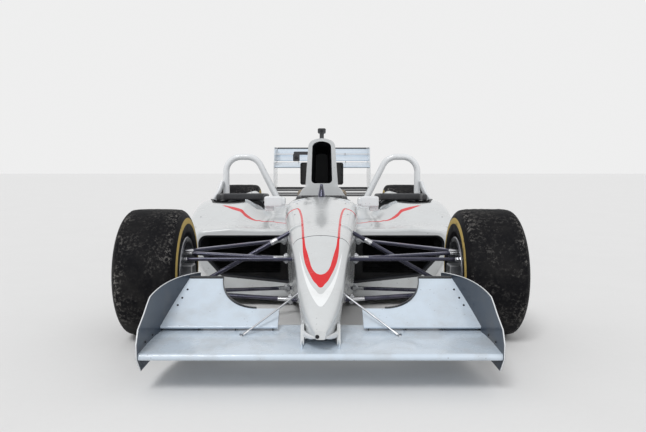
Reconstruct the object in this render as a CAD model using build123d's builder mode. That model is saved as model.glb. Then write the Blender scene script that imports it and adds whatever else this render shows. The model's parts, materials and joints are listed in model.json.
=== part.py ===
from build123d import *
from math import cos, radians, sin
import os

# A three-seat open wheel racing car: the driver sits in the middle and one passenger sits in each
# side pod. +Z is up, the nose points to -Y and +X is the driver's left. The origin is on the ground
# at the middle of the car. All sizes are in millimetres. A station is a distance behind the front
# axle, and a height is measured from the ground.

# Overall sizes
WHEELBASE = 3100
FRONT_OVERHANG = 910
REAR_OVERHANG = 640
OVERALL_WIDTH = 2000
GROUND_CLEARANCE = 50
FLOOR_THICKNESS = 10

# Tyres, rims and hubs
FRONT_TYRE_DIAMETER = 650
FRONT_TYRE_WIDTH = 310
REAR_TYRE_DIAMETER = 660
REAR_TYRE_WIDTH = 380
BEAD_RADIUS = 165
BEAD_HEIGHT = 20
BEAD_TUCK = 12
TYRE_WALL = 14
SHOULDER_RADIUS = 38
RIM_LIP = 12
RIM_LIP_THICKNESS = 10
RIM_WALL = 8
SPOKES = 10
SPOKE_DEPTH = 46
SPOKE_THICKNESS = 18
HUB_RADIUS = 46
NUT_RADIUS = 34
SPINDLE_RADIUS = 28
RUNNING_PLAY = 0.1
BRAKE_DISC_RADIUS = 132
BRAKE_DISC_THICKNESS = 22
MOVING_GAP = 6

# Front suspension and steering
KINGPIN_DEPTH = 60
UPPER_JOINT_RISE = 101
LOWER_JOINT_DROP = 107
UPRIGHT_THICKNESS = 40
BALL_JOINT_RADIUS = 17
BALL_JOINT_HEIGHT = 24
BALL_PIN_RADIUS = 7
ARM_WIDTH = 40
ARM_DEPTH = 16
PUSHROD_RADIUS = 11
STEERING_ARM = 100
TRACK_ROD_RADIUS = 9
TRACK_ROD_RISE = 80
TRACK_EYE_RADIUS = 19
TRACK_EYE_BORE = 11
TRACK_PIN_RADIUS = 6

# Steering wheel
STEERING_WHEEL_STATION = 1300
STEERING_WHEEL_HEIGHT = 500
STEERING_WHEEL_WIDTH = 270
STEERING_WHEEL_DEPTH = 180
COLUMN_TILT = 14
COLUMN_RADIUS = 15
COLUMN_LENGTH = 240

# Tub and driver's cockpit
TUB_WALL = 14
TUB_FRONT = -190
TUB_REAR = 1980
COCKPIT_FRONT = 1100
COCKPIT_REAR = 1740
COCKPIT_HALF_WIDTH = 200
COCKPIT_NOSE_HALF_WIDTH = 130

# Passenger pods
POD_FRONT = 620
POD_WALL = 12
POD_FILLET = 45
INLET_LIP = 60
INLET_CORNER = 40
LIP_LENGTH = 18
MOUTH_FLARE = 14
PASSENGER_X = 618
CABIN_FRONT = 930
CABIN_OPENING_FRONT = 1240
CABIN_OPENING_REAR = 1810
CABIN_OPENING_HALF_WIDTH = 204
CABIN_NOSE_HALF_WIDTH = 150
OPENING_CORNER = 70
BULKHEAD = 14
RADIATOR_THICKNESS = 50
FLOOR_LIP = 30
COLLAR_PAD = 44
COLLAR_LENGTH = 190
COLLAR_HEIGHT = 60
CABIN_COLLAR_TOP = 645
COCKPIT_COLLAR_TOP = 632

# Front wing
WING_INSET = 300
WING_LEADING_EDGE = -902
WING_CHORD = 385
WING_HEIGHT = 140
WING_THICKNESS = 30
FLAP_INNER = 183
FLAP_FRONT = -605
FLAP_REAR = -335
FLAP_FRONT_HEIGHT = 186
FLAP_REAR_HEIGHT = 348
FLAP_THICKNESS = 14
FLAP_CUT_RADIUS = 170
ENDPLATE_THICKNESS = 6
ENDPLATE_REAR = -250
PILLAR_X = 73
PILLAR_THICKNESS = 14
WING_STAY_RADIUS = 4

# Rear of the car
ENGINE_LENGTH = 620
ENGINE_HALF_WIDTH = 165
ENGINE_TOP = 450
GEARBOX_HALF_WIDTH = 105
TAIL_LENGTH = 380
DIFFUSER_TYRE_GAP = 130
DIFFUSER_HEIGHT = 230
DIFFUSER_THICKNESS = 8
REAR_PLATE_TYRE_GAP = 120
REAR_PLATE_THICKNESS = 8
REAR_PLATE_LENGTH = 480
REAR_PLATE_TOP = 1045
REAR_PLATE_BOTTOM = 500
DRIVESHAFT_RADIUS = 22
REAR_UPRIGHT_DEPTH = 90
REAR_ARM_RISE = 100
REAR_ARM_DROP = 105
REAR_PUSHROD_SHARE = 0.16

# Roll structures
HOOP_STATION = 1880
HOOP_TOP = 956
HOOP_TUBE_RADIUS = 25
HOOP_OUTER_X = 800
HOOP_INNER_X = 300
HOOP_BEND = 120
AIRBOX_STATION = 1780
AIRBOX_TOP = 1075
AIRBOX_HALF_WIDTH = 105
AIRBOX_WALL = 22
DUCT_STATION = 2040
DUCT_LENGTH = 180
DUCT_X = 132
DUCT_HEIGHT = 792
DUCT_WIDTH = 96
DUCT_DEPTH = 186
DUCT_CORNER = 18
DUCT_WALL = 4

# Places worked out from the sizes above
FRONT_AXLE_Y = FRONT_OVERHANG - (FRONT_OVERHANG + WHEELBASE + REAR_OVERHANG) / 2
FRONT_AXLE_Z = FRONT_TYRE_DIAMETER / 2
REAR_AXLE_Z = REAR_TYRE_DIAMETER / 2
REAR_AXLE = WHEELBASE
UPPER_JOINT_HEIGHT = FRONT_AXLE_Z + UPPER_JOINT_RISE
LOWER_JOINT_HEIGHT = FRONT_AXLE_Z - LOWER_JOINT_DROP
TRACK_ROD_HEIGHT = FRONT_AXLE_Z + TRACK_ROD_RISE
KINGPIN_X = OVERALL_WIDTH / 2 - FRONT_TYRE_WIDTH + KINGPIN_DEPTH
REAR_UPRIGHT_X = OVERALL_WIDTH / 2 - REAR_TYRE_WIDTH + REAR_UPRIGHT_DEPTH
FLOOR_TOP = GROUND_CLEARANCE + FLOOR_THICKNESS
OPENING_BOTTOM = FLOOR_TOP + 250
GEARBOX_STATION = TUB_REAR + ENGINE_LENGTH
GEARBOX_END = REAR_AXLE + 160
TAIL_END = REAR_AXLE - 380
TOWER_END = REAR_AXLE + 60
PUSHROD_FOOT = Vector(KINGPIN_X - 50, FRONT_AXLE_Y + 6, LOWER_JOINT_HEIGHT + 4)
PUSHROD_HEAD = Vector(144, FRONT_AXLE_Y + 100, 530)
PUSHROD_LINE = (PUSHROD_HEAD - PUSHROD_FOOT).normalized()
PUSHROD_BOSS = 28
REAR_PLATE_STATION = REAR_AXLE + REAR_OVERHANG - REAR_PLATE_LENGTH
WING_HALF_SPAN = OVERALL_WIDTH / 2 - WING_INSET
DIFFUSER_HALF_WIDTH = OVERALL_WIDTH / 2 - REAR_TYRE_WIDTH - DIFFUSER_TYRE_GAP
REAR_WING_HALF_SPAN = OVERALL_WIDTH / 2 - REAR_TYRE_WIDTH - REAR_PLATE_TYRE_GAP
EXHAUST_START = REAR_AXLE - 460
EXHAUST_END = REAR_AXLE - 200
OPENING_CUT = 500
# Cockpit openings: x, half width, half width of the nose, front, rear and corner radius
COCKPIT_OPENING = (
    0, COCKPIT_HALF_WIDTH, COCKPIT_NOSE_HALF_WIDTH, COCKPIT_FRONT, COCKPIT_REAR, OPENING_CORNER,
)
CABIN_OPENING = (
    PASSENGER_X, CABIN_OPENING_HALF_WIDTH, CABIN_NOSE_HALF_WIDTH, CABIN_OPENING_FRONT, CABIN_OPENING_REAR,
    OPENING_CORNER,
)


def y_at(station):
    """Y of a station."""
    return FRONT_AXLE_Y + station


def cross_plane(station):
    """The plane across the car at a station: its X is the car's X and its Y is the height."""
    return Plane(origin=(0, y_at(station), 0), x_dir=(1, 0, 0), z_dir=(0, -1, 0))


def side_plane(x):
    """The plane along the car at x: its X is the car's Y and its Y is the height."""
    return Plane(origin=(x, 0, 0), x_dir=(0, 1, 0), z_dir=(1, 0, 0))


def body_section(station, half_low, half_high, bottom, top, crown, low_radius, high_radius):
    """A rounded body section with a flat bottom, leaning sides and a crowned top."""
    with BuildSketch(cross_plane(station)) as section:
        with BuildLine():
            Polyline((half_high, top - crown), (half_low, bottom), (-half_low, bottom), (-half_high, top - crown))
            ThreePointArc((-half_high, top - crown), (0, top), (half_high, top - crown))
        make_face()
        fillet(section.vertices().group_by(Axis.Y)[0], low_radius)
        fillet(section.vertices().group_by(Axis.Y)[-1], high_radius)
    return section.sketch


def inset_body(row, wall):
    """The row of a section that lies one wall inside a body section."""
    station, half_low, half_high, bottom, top, crown, low_radius, high_radius = row
    low_inside, high_inside = max(low_radius - wall, 3), max(high_radius - wall, 3)
    return station, half_low - wall, half_high - wall, bottom + wall, top - wall, crown, low_inside, high_inside


def pod_section(
    station, inner, low, side, side_height, shoulder, shoulder_height, crest, crest_height, foot, valley
):
    """A pod section on the left of the car: flat bottom, undercut side, a raised cowl from shoulder to
    crest, and a level valley from the cowl's foot to the tub."""
    with BuildSketch(cross_plane(station)) as section:
        with BuildLine():
            Polyline(
                (inner, FLOOR_TOP),
                (low, FLOOR_TOP),
                (side, side_height),
                (shoulder, shoulder_height),
                (crest, crest_height),
                (foot, valley),
                (inner, valley),
                close=True,
            )
        make_face()
        fillet(section.vertices().group_by(Axis.X)[1:], POD_FILLET)
    return section.sketch


def inset_pod(row, wall):
    """The row of a section that lies one wall inside a pod section."""
    station, inner, low, side, side_height, shoulder, shoulder_height, crest, crest_height, foot, valley = row
    return (
        station, inner + wall, low - wall, side - wall, side_height,
        shoulder - wall, shoulder_height - wall, crest + wall / 2, crest_height - wall, foot + wall / 2,
        valley - wall,
    )


def opening_prism(x, half_width, nose_half_width, front, rear, corner, height):
    """An upright block with the plan of a cockpit opening: an arc at the front, sides that spread over
    the first part of its length, and rounded rear corners."""
    spread = front + 1.2 * half_width
    with BuildPart() as prism:
        with BuildSketch(Plane.XY.offset(OPENING_BOTTOM)) as plan:
            with BuildLine():
                Polyline(
                    (x + nose_half_width, y_at(front)),
                    (x + half_width, y_at(spread)),
                    (x + half_width, y_at(rear)),
                    (x - half_width, y_at(rear)),
                    (x - half_width, y_at(spread)),
                    (x - nose_half_width, y_at(front)),
                )
                ThreePointArc(
                    (x - nose_half_width, y_at(front)),
                    (x, y_at(front - 0.4 * nose_half_width)),
                    (x + nose_half_width, y_at(front)),
                )
            make_face()
            fillet(plan.vertices().group_by(Axis.Y)[-1], corner)
        extrude(amount=height)
    return prism.part


def collar(x, half_width, nose_half_width, front, rear, corner, top):
    """A padded collar inside the rear of a cockpit opening, open to the front."""
    with BuildPart() as pad:
        add(opening_prism(x, half_width, nose_half_width, front, rear, corner, top - OPENING_BOTTOM))
        inner_half, inner_rear = half_width - COLLAR_PAD, rear - COLLAR_PAD
        add(
            opening_prism(x, inner_half, nose_half_width - COLLAR_PAD, front, inner_rear, corner / 2, 2 * top),
            mode=Mode.SUBTRACT,
        )
        with BuildSketch(Plane.XY.offset(top - COLLAR_HEIGHT)):
            with Locations((x, y_at(rear - COLLAR_LENGTH / 2))):
                Rectangle(3 * half_width, COLLAR_LENGTH)
        extrude(amount=COLLAR_HEIGHT, mode=Mode.INTERSECT)
    return pad.part


def arm(start, end, width=ARM_WIDTH, depth=ARM_DEPTH):
    """A straight streamlined arm with rounded edges, its long side level."""
    start, end = Vector(*start), Vector(*end)
    along = (end - start).normalized()
    level = along.cross(Vector(0, 0, 1)).normalized()
    with BuildPart() as bar:
        with BuildSketch(Plane(origin=start, x_dir=level, z_dir=along)):
            SlotOverall(width, depth)
        extrude(amount=(end - start).length)
    return bar.part


def rod(start, end, radius):
    """A straight round rod."""
    start, end = Vector(*start), Vector(*end)
    with BuildPart() as bar:
        with BuildSketch(Plane(origin=start, z_dir=end - start)):
            Circle(radius)
        extrude(amount=(end - start).length)
    return bar.part


def axle_plane(axle_y, axle_z):
    """The upright plane through an axle: its X is the car's X and its Y is the height over the axle."""
    return Plane(origin=(0, axle_y, axle_z), x_dir=(1, 0, 0), z_dir=(0, -1, 0))


def wheel_plane(x, axle_y, axle_z):
    """The plane of a wheel at x: its X is the car's Y and its Y is up, both from the axle."""
    return Plane(origin=(x, axle_y, axle_z), x_dir=(0, 1, 0), z_dir=(1, 0, 0))


def slick_tyre(inner_x, outer_x, tread_radius, axle_y, axle_z):
    """A slick tyre on the left side, with beads on the rim and hollow between its walls."""
    side_low = BEAD_RADIUS + BEAD_HEIGHT + 30
    with BuildPart() as tyre:
        with BuildSketch(axle_plane(axle_y, axle_z)):
            with BuildLine():
                Polyline(
                    (inner_x + BEAD_TUCK, BEAD_RADIUS),
                    (inner_x + BEAD_TUCK, BEAD_RADIUS + BEAD_HEIGHT),
                    (inner_x, side_low),
                    (inner_x, tread_radius),
                    (outer_x, tread_radius),
                    (outer_x, side_low),
                    (outer_x - BEAD_TUCK, BEAD_RADIUS + BEAD_HEIGHT),
                    (outer_x - BEAD_TUCK, BEAD_RADIUS),
                    close=True,
                )
            shape = make_face()
            fillet(shape.vertices().group_by(Axis.Y)[-1], SHOULDER_RADIUS)
            with BuildLine():
                Polyline(
                    (inner_x + BEAD_TUCK + 1.6 * TYRE_WALL, BEAD_RADIUS),
                    (inner_x + BEAD_TUCK + 1.6 * TYRE_WALL, BEAD_RADIUS + BEAD_HEIGHT),
                    (inner_x + TYRE_WALL, side_low),
                    (inner_x + TYRE_WALL, tread_radius - SHOULDER_RADIUS),
                    (inner_x + SHOULDER_RADIUS, tread_radius - TYRE_WALL),
                    (outer_x - SHOULDER_RADIUS, tread_radius - TYRE_WALL),
                    (outer_x - TYRE_WALL, tread_radius - SHOULDER_RADIUS),
                    (outer_x - TYRE_WALL, side_low),
                    (outer_x - BEAD_TUCK - 1.6 * TYRE_WALL, BEAD_RADIUS + BEAD_HEIGHT),
                    (outer_x - BEAD_TUCK - 1.6 * TYRE_WALL, BEAD_RADIUS),
                    close=True,
                )
            make_face(mode=Mode.SUBTRACT)
        revolve(axis=Axis((0, axle_y, axle_z), (1, 0, 0)))
    return tyre.part


def spoked_rim(inner_x, outer_x, hub_inner_x, bore_radius, axle_y, axle_z):
    """A rim on the left side with its barrel, lips, spokes, hub, brake disc and centre nut."""
    lip_in, lip_out = inner_x + BEAD_TUCK - RIM_LIP_THICKNESS, outer_x - BEAD_TUCK + RIM_LIP_THICKNESS
    barrel_inside = BEAD_RADIUS - RIM_WALL
    face_x = outer_x - SPOKE_DEPTH
    disc_x = hub_inner_x + 14
    axis = Axis((0, axle_y, axle_z), (1, 0, 0))
    with BuildPart() as rim:
        # barrel with a lip at each side
        with BuildSketch(axle_plane(axle_y, axle_z)):
            with BuildLine():
                Polyline(
                    (lip_in, barrel_inside),
                    (lip_in, BEAD_RADIUS + RIM_LIP),
                    (lip_in + RIM_LIP_THICKNESS, BEAD_RADIUS + RIM_LIP),
                    (lip_in + RIM_LIP_THICKNESS, BEAD_RADIUS),
                    (lip_out - RIM_LIP_THICKNESS, BEAD_RADIUS),
                    (lip_out - RIM_LIP_THICKNESS, BEAD_RADIUS + RIM_LIP),
                    (lip_out, BEAD_RADIUS + RIM_LIP),
                    (lip_out, barrel_inside),
                    close=True,
                )
            make_face()
        revolve(axis=axis)
        # hub with its brake disc
        with BuildSketch(axle_plane(axle_y, axle_z)):
            with BuildLine():
                Polyline(
                    (hub_inner_x, bore_radius),
                    (hub_inner_x, HUB_RADIUS),
                    (disc_x, HUB_RADIUS),
                    (disc_x, BRAKE_DISC_RADIUS),
                    (disc_x + BRAKE_DISC_THICKNESS, BRAKE_DISC_RADIUS),
                    (disc_x + BRAKE_DISC_THICKNESS, HUB_RADIUS),
                    (face_x + SPOKE_THICKNESS, HUB_RADIUS),
                    (face_x + SPOKE_THICKNESS, bore_radius),
                    close=True,
                )
            make_face()
        revolve(axis=axis)
        # spokes
        with BuildSketch(wheel_plane(face_x, axle_y, axle_z)):
            with PolarLocations(0, SPOKES):
                with Locations((HUB_RADIUS + 55, 0)):
                    Trapezoid(34, 116, 86, rotation=-90)
        extrude(amount=SPOKE_THICKNESS)
        # centre nut closes the bore
        with BuildSketch(wheel_plane(face_x + SPOKE_THICKNESS, axle_y, axle_z)):
            RegularPolygon(NUT_RADIUS, 6)
        extrude(amount=22)
        with BuildSketch(wheel_plane(face_x + SPOKE_THICKNESS - 8, axle_y, axle_z)):
            Circle(NUT_RADIUS)
        extrude(amount=8)
    return rim.part


def mirror_solid(shape):
    """The same solid on the other side of the car."""
    with BuildPart() as other:
        add(mirror(shape, about=Plane.YZ, mode=Mode.PRIVATE))
    return other.part


def save(shape, name):
    """Label a finished piece and write its file."""
    shape.label = name
    export_step(shape, f"parts/{name}.step")


os.makedirs("parts", exist_ok=True)

# Body sections. Columns: station, half width low, half width high, bottom, top, crown, low radius,
# high radius
TUB_SECTIONS = [
    (TUB_FRONT, 105, 148, 190, 537, 32, 40, 60),
    (0, 130, 172, 150, 562, 36, 45, 70),
    (450, 180, 208, 85, 606, 42, 20, 80),
    (COCKPIT_FRONT - 30, 232, 250, FLOOR_TOP, 657, 56, 12, 90),
    (COCKPIT_FRONT + 330, 236, 252, FLOOR_TOP, 610, 24, 12, 60),
    (TUB_REAR, 236, 252, FLOOR_TOP, 600, 14, 12, 60),
]
NOSE_SECTIONS = [
    (-880, 16, 22, 216, 250, 6, 5, 8),
    (-780, 48, 60, 200, 302, 14, 16, 26),
    (-520, 86, 108, 190, 404, 24, 30, 45),
    (TUB_FRONT, 105, 148, 190, 537, 32, 40, 60),
]
TOWER_SECTIONS = [
    (AIRBOX_STATION, 140, AIRBOX_HALF_WIDTH, 560, AIRBOX_TOP, 35, 10, 60),
    (AIRBOX_STATION + 340, 136, 92, 540, 1045, 30, 10, 55),
    ((AIRBOX_STATION + 340 + TOWER_END) / 2, 100, 50, 480, 800, 18, 10, 34),
    (TOWER_END, 60, 30, 450, 590, 10, 10, 18),
]
DECK_SECTIONS = [
    (AIRBOX_STATION - 20, 560, 140, FLOOR_TOP, 706, 16, 10, 30),
    (TUB_REAR + 60, 520, 165, FLOOR_TOP, 670, 16, 10, 30),
    (REAR_AXLE - 320, 300, 140, FLOOR_TOP, 500, 14, 10, 30),
]
DUCT_SECTIONS = [
    (AIRBOX_STATION, 84, 74, 720, AIRBOX_TOP - AIRBOX_WALL, 26, 30, 40),
    (AIRBOX_STATION + 320, 56, 50, 700, 960, 16, 20, 24),
]

# Pod sections. Columns: station, inner x, low x, side x, side height, shoulder x, shoulder height,
# crest x, crest height, foot x, valley height
POD_SECTIONS = [
    (POD_FRONT + LIP_LENGTH, 190, 640, 800, 330, 772, 468, 560, 486, 400, 478),
    (CABIN_FRONT, 215, 760, 905, 340, 868, 526, 545, 545, 400, 480),
    (CABIN_OPENING_FRONT, 225, 790, 920, 350, 866, 600, 520, 618, 380, 496),
    (CABIN_OPENING_REAR - 260, 225, 790, 920, 350, 868, 598, 520, 630, 380, 506),
    (TUB_REAR, 225, 790, 915, 350, 858, 566, 545, 655, 400, 540),
]
TAIL_SECTIONS = [
    POD_SECTIONS[-1],
    ((TUB_REAR + TAIL_END) / 2, 150, 680, 800, 320, 715, 452, 515, 532, 370, 476),
    (TAIL_END, 150, 470, 560, 290, 510, 370, 400, 400, 290, 384),
]
# Outline of the radiator inlet in the pod's front, x and height
INLET_OUTLINE = [(180, 150), (612, 196), (748, 348), (748, 428), (180, 428)]

# Plain outer forms that other pieces are cut to
with BuildPart() as tub_form:
    loft([body_section(*row) for row in TUB_SECTIONS])
    with BuildSketch():
        with Locations((0, y_at(TUB_REAR / 2))):
            Rectangle(OVERALL_WIDTH, 2 * WHEELBASE)
    extrude(amount=FLOOR_TOP, mode=Mode.SUBTRACT)
with BuildPart() as pod_form:
    loft([pod_section(*row) for row in POD_SECTIONS])
    # rounded lip ahead of the first section
    lip_rows = [
        (POD_FRONT + share * LIP_LENGTH,) + inset_pod(POD_SECTIONS[0], inset * LIP_LENGTH)[1:]
        for share, inset in ((0, 1), (0.3, 0.3), (1, 0))
    ]
    loft([pod_section(*row) for row in lip_rows])
with BuildPart() as pod_forms:
    add(pod_form.part)
    mirror(about=Plane.YZ)

# Tub: hollow, with the cockpit opening pointed towards the nose and holes for the steering rack
with BuildPart() as monocoque:
    add(tub_form.part)
    inner_rows = [inset_body(row, TUB_WALL) for row in TUB_SECTIONS]
    inner_rows[0] = (TUB_FRONT + 3 * TUB_WALL,) + inner_rows[0][1:]
    inner_rows[-1] = (TUB_REAR - TUB_WALL,) + inner_rows[-1][1:]
    loft([body_section(*row) for row in inner_rows], mode=Mode.SUBTRACT)
    add(opening_prism(*COCKPIT_OPENING, OPENING_CUT), mode=Mode.SUBTRACT)
    with BuildSketch(side_plane(-OVERALL_WIDTH / 4)):
        with Locations((y_at(-STEERING_ARM), TRACK_ROD_HEIGHT)):
            Circle(TRACK_ROD_RADIUS + MOVING_GAP)
    extrude(amount=OVERALL_WIDTH / 2, mode=Mode.SUBTRACT)
    # holes where the pushrods pass through the skin to their rockers
    for side in (-1, 1):
        head = Vector(side * PUSHROD_HEAD.X, PUSHROD_HEAD.Y, PUSHROD_HEAD.Z)
        line = Vector(side * PUSHROD_LINE.X, PUSHROD_LINE.Y, PUSHROD_LINE.Z)
        with BuildSketch(Plane(origin=head - line * 60, z_dir=line)):
            Circle(PUSHROD_RADIUS + MOVING_GAP / 2)
        extrude(amount=110, mode=Mode.SUBTRACT)
save(monocoque.part, "monocoque")

# Region inside the front endplates, which bend inboard ahead of the tyres
inside_x = WING_HALF_SPAN - ENDPLATE_THICKNESS
with BuildPart() as wing_region:
    with BuildSketch(Plane.XY.offset(GROUND_CLEARANCE)):
        with BuildLine():
            Line((0, y_at(-960)), (inside_x, y_at(-960)))
            Line((inside_x, y_at(-960)), (inside_x, y_at(-760)))
            ThreePointArc((inside_x, y_at(-760)), (inside_x - 40, y_at(-470)), (inside_x - 118, y_at(ENDPLATE_REAR)))
            Polyline((inside_x - 118, y_at(ENDPLATE_REAR)), (0, y_at(ENDPLATE_REAR)), (0, y_at(-960)))
        make_face()
    extrude(amount=400)
    mirror(about=Plane.YZ)

# Main plane of the front wing: rounded nose, gently cambered, down to a thin trailing edge
wing_tail = WING_LEADING_EDGE + WING_CHORD
with BuildPart() as front_wing:
    with BuildSketch(side_plane(-WING_HALF_SPAN)):
        with BuildLine():
            ThreePointArc(
                (y_at(WING_LEADING_EDGE + 20), WING_HEIGHT),
                (y_at(WING_LEADING_EDGE), WING_HEIGHT + 12),
                (y_at(WING_LEADING_EDGE + 20), WING_HEIGHT + 24),
            )
            ThreePointArc(
                (y_at(WING_LEADING_EDGE + 20), WING_HEIGHT + 24),
                (y_at(WING_LEADING_EDGE + 170), WING_HEIGHT + WING_THICKNESS),
                (y_at(wing_tail), WING_HEIGHT + 38),
            )
            Line((y_at(wing_tail), WING_HEIGHT + 38), (y_at(wing_tail), WING_HEIGHT + 34))
            ThreePointArc(
                (y_at(wing_tail), WING_HEIGHT + 34),
                (y_at(WING_LEADING_EDGE + 190), WING_HEIGHT + 4),
                (y_at(WING_LEADING_EDGE + 20), WING_HEIGHT),
            )
        make_face()
    extrude(amount=2 * WING_HALF_SPAN)
    add(wing_region.part, mode=Mode.INTERSECT)
save(front_wing.part, "front_wing")

# Nose cone with the two pillars that carry the front wing
wing_top = WING_HEIGHT + WING_THICKNESS - 2
with BuildPart() as nose_cone:
    loft([body_section(*row) for row in NOSE_SECTIONS])
    for side in (-1, 1):
        with BuildSketch(side_plane(side * PILLAR_X - PILLAR_THICKNESS / 2)):
            with BuildLine():
                Polyline(
                    (y_at(-800), wing_top),
                    (y_at(-640), wing_top),
                    (y_at(-600), 240),
                    (y_at(-740), 240),
                    close=True,
                )
            make_face()
        extrude(amount=PILLAR_THICKNESS)
    add(front_wing.part, mode=Mode.SUBTRACT)
save(nose_cone.part, "nose_cone")

# Wing stays: a thin rod each side from the nose to the wing
with BuildPart() as wing_stays:
    add(rod((60, y_at(-500), 345), (360, y_at(-690), 152), WING_STAY_RADIUS))
    mirror(about=Plane.YZ)
    add(nose_cone.part, mode=Mode.SUBTRACT)
    add(front_wing.part, mode=Mode.SUBTRACT)
save(wing_stays.part, "wing_stays")

# Flaps: one each side, cut away in a curve at their inner rear corner
flap_chord_rise = FLAP_REAR_HEIGHT - FLAP_FRONT_HEIGHT
with BuildPart() as front_flaps:
    with BuildSketch(side_plane(FLAP_INNER)):
        with BuildLine():
            ThreePointArc(
                (y_at(FLAP_FRONT), FLAP_FRONT_HEIGHT + FLAP_THICKNESS),
                (y_at((FLAP_FRONT + FLAP_REAR) / 2), FLAP_FRONT_HEIGHT + 0.42 * flap_chord_rise + FLAP_THICKNESS),
                (y_at(FLAP_REAR), FLAP_REAR_HEIGHT + 4),
            )
            Line((y_at(FLAP_REAR), FLAP_REAR_HEIGHT + 4), (y_at(FLAP_REAR), FLAP_REAR_HEIGHT))
            ThreePointArc(
                (y_at(FLAP_REAR), FLAP_REAR_HEIGHT),
                (y_at((FLAP_FRONT + FLAP_REAR) / 2 + 10), FLAP_FRONT_HEIGHT + 0.40 * flap_chord_rise),
                (y_at(FLAP_FRONT), FLAP_FRONT_HEIGHT),
            )
            ThreePointArc(
                (y_at(FLAP_FRONT), FLAP_FRONT_HEIGHT),
                (y_at(FLAP_FRONT - 7), FLAP_FRONT_HEIGHT + FLAP_THICKNESS / 2),
                (y_at(FLAP_FRONT), FLAP_FRONT_HEIGHT + FLAP_THICKNESS),
            )
        make_face()
    extrude(amount=WING_HALF_SPAN - FLAP_INNER)
    with BuildSketch(Plane.XY.offset(GROUND_CLEARANCE)):
        with Locations((FLAP_INNER + 100, y_at(FLAP_REAR))):
            Circle(FLAP_CUT_RADIUS)
        with Locations((FLAP_INNER + 15, y_at(FLAP_REAR))):
            Rectangle(170, 2 * FLAP_CUT_RADIUS)
    extrude(amount=400, mode=Mode.SUBTRACT)
    mirror(about=Plane.YZ)
    add(wing_region.part, mode=Mode.INTERSECT)
save(front_flaps.part, "front_flaps")

# Front endplates: upright sheets that bend inboard, rounded at the top of the nose
with BuildPart() as front_endplates:
    with BuildSketch(Plane.XY.offset(GROUND_CLEARANCE)):
        with BuildLine():
            outer_x = inside_x + ENDPLATE_THICKNESS
            Line((inside_x, y_at(-FRONT_OVERHANG)), (outer_x, y_at(-FRONT_OVERHANG)))
            Line((outer_x, y_at(-FRONT_OVERHANG)), (outer_x, y_at(-760)))
            ThreePointArc((outer_x, y_at(-760)), (outer_x - 40, y_at(-470)), (outer_x - 118, y_at(ENDPLATE_REAR)))
            Line((outer_x - 118, y_at(ENDPLATE_REAR)), (inside_x - 118, y_at(ENDPLATE_REAR)))
            ThreePointArc((inside_x - 118, y_at(ENDPLATE_REAR)), (inside_x - 40, y_at(-470)), (inside_x, y_at(-760)))
            Line((inside_x, y_at(-760)), (inside_x, y_at(-FRONT_OVERHANG)))
        make_face()
    extrude(amount=400)
    with BuildSketch(side_plane(WING_HALF_SPAN / 2)):
        with BuildLine():
            Polyline(
                (y_at(-FRONT_OVERHANG), 150),
                (y_at(-FRONT_OVERHANG), 205),
                (y_at(-880), 255),
                (y_at(-800), 293),
                (y_at(-710), 345),
            )
            ThreePointArc((y_at(-710), 345), (y_at(-480), 371), (y_at(ENDPLATE_REAR), 364))
            Polyline(
                (y_at(ENDPLATE_REAR), 364),
                (y_at(ENDPLATE_REAR), 110),
                (y_at(ENDPLATE_REAR - 25), 88),
                (y_at(-860), 88),
                (y_at(-FRONT_OVERHANG), 150),
            )
        make_face()
    extrude(amount=WING_HALF_SPAN, mode=Mode.INTERSECT)
    mirror(about=Plane.YZ)
save(front_endplates.part, "front_endplates")

# Passenger pods: hollow, with a lipped radiator inlet and an opening over the passenger
with BuildPart() as pod_hollow:
    hollow_rows = [inset_pod(row, POD_WALL) for row in POD_SECTIONS]
    hollow_rows[0] = (POD_FRONT + INLET_LIP,) + hollow_rows[0][1:]
    loft([pod_section(*row) for row in hollow_rows])
    for bulkhead_station in (CABIN_FRONT, TUB_REAR - BULKHEAD):
        with BuildSketch(cross_plane(bulkhead_station)):
            with Locations((PASSENGER_X, 400)):
                Rectangle(1200, 900)
        extrude(amount=-BULKHEAD, mode=Mode.SUBTRACT)

with BuildPart() as pod_left:
    add(pod_form.part)
    add(pod_hollow.part, mode=Mode.SUBTRACT)
    with BuildSketch(cross_plane(POD_FRONT - 1)) as inlet:
        with BuildLine():
            Polyline(*INLET_OUTLINE, close=True)
        make_face()
        fillet(inlet.vertices().group_by(Axis.X)[1:], INLET_CORNER)
    extrude(amount=-(INLET_LIP + 2), mode=Mode.SUBTRACT)
    # the inlet's mouth flares towards the front
    with BuildSketch(cross_plane(POD_FRONT - 1)):
        add(inlet.sketch)
        offset(amount=MOUTH_FLARE)
    extrude(amount=-(MOUTH_FLARE + 1), taper=45, mode=Mode.SUBTRACT)
    add(opening_prism(*CABIN_OPENING, OPENING_CUT), mode=Mode.SUBTRACT)
    add(tub_form.part, mode=Mode.SUBTRACT)
save(pod_left.part, "pod_left")
save(mirror_solid(pod_left.part), "pod_right")

# Radiator cores across the inlets
with BuildPart() as pod_radiators:
    with BuildSketch(cross_plane(CABIN_FRONT - RADIATOR_THICKNESS)):
        with Locations((PASSENGER_X, 400)):
            Rectangle(1200, 900)
    extrude(amount=-RADIATOR_THICKNESS)
    add(pod_hollow.part, mode=Mode.INTERSECT)
    add(tub_form.part, mode=Mode.SUBTRACT)
    mirror(about=Plane.YZ)
save(pod_radiators.part, "pod_radiators")

# Engine cover: airbox tower, deck over the engine and the pods' tails, one thin open-bottomed shell
with BuildPart() as cover_form:
    loft([pod_section(*row) for row in TAIL_SECTIONS])
    mirror(about=Plane.YZ)
    loft([body_section(*row) for row in DECK_SECTIONS])
    loft([body_section(*row) for row in TOWER_SECTIONS])

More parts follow.
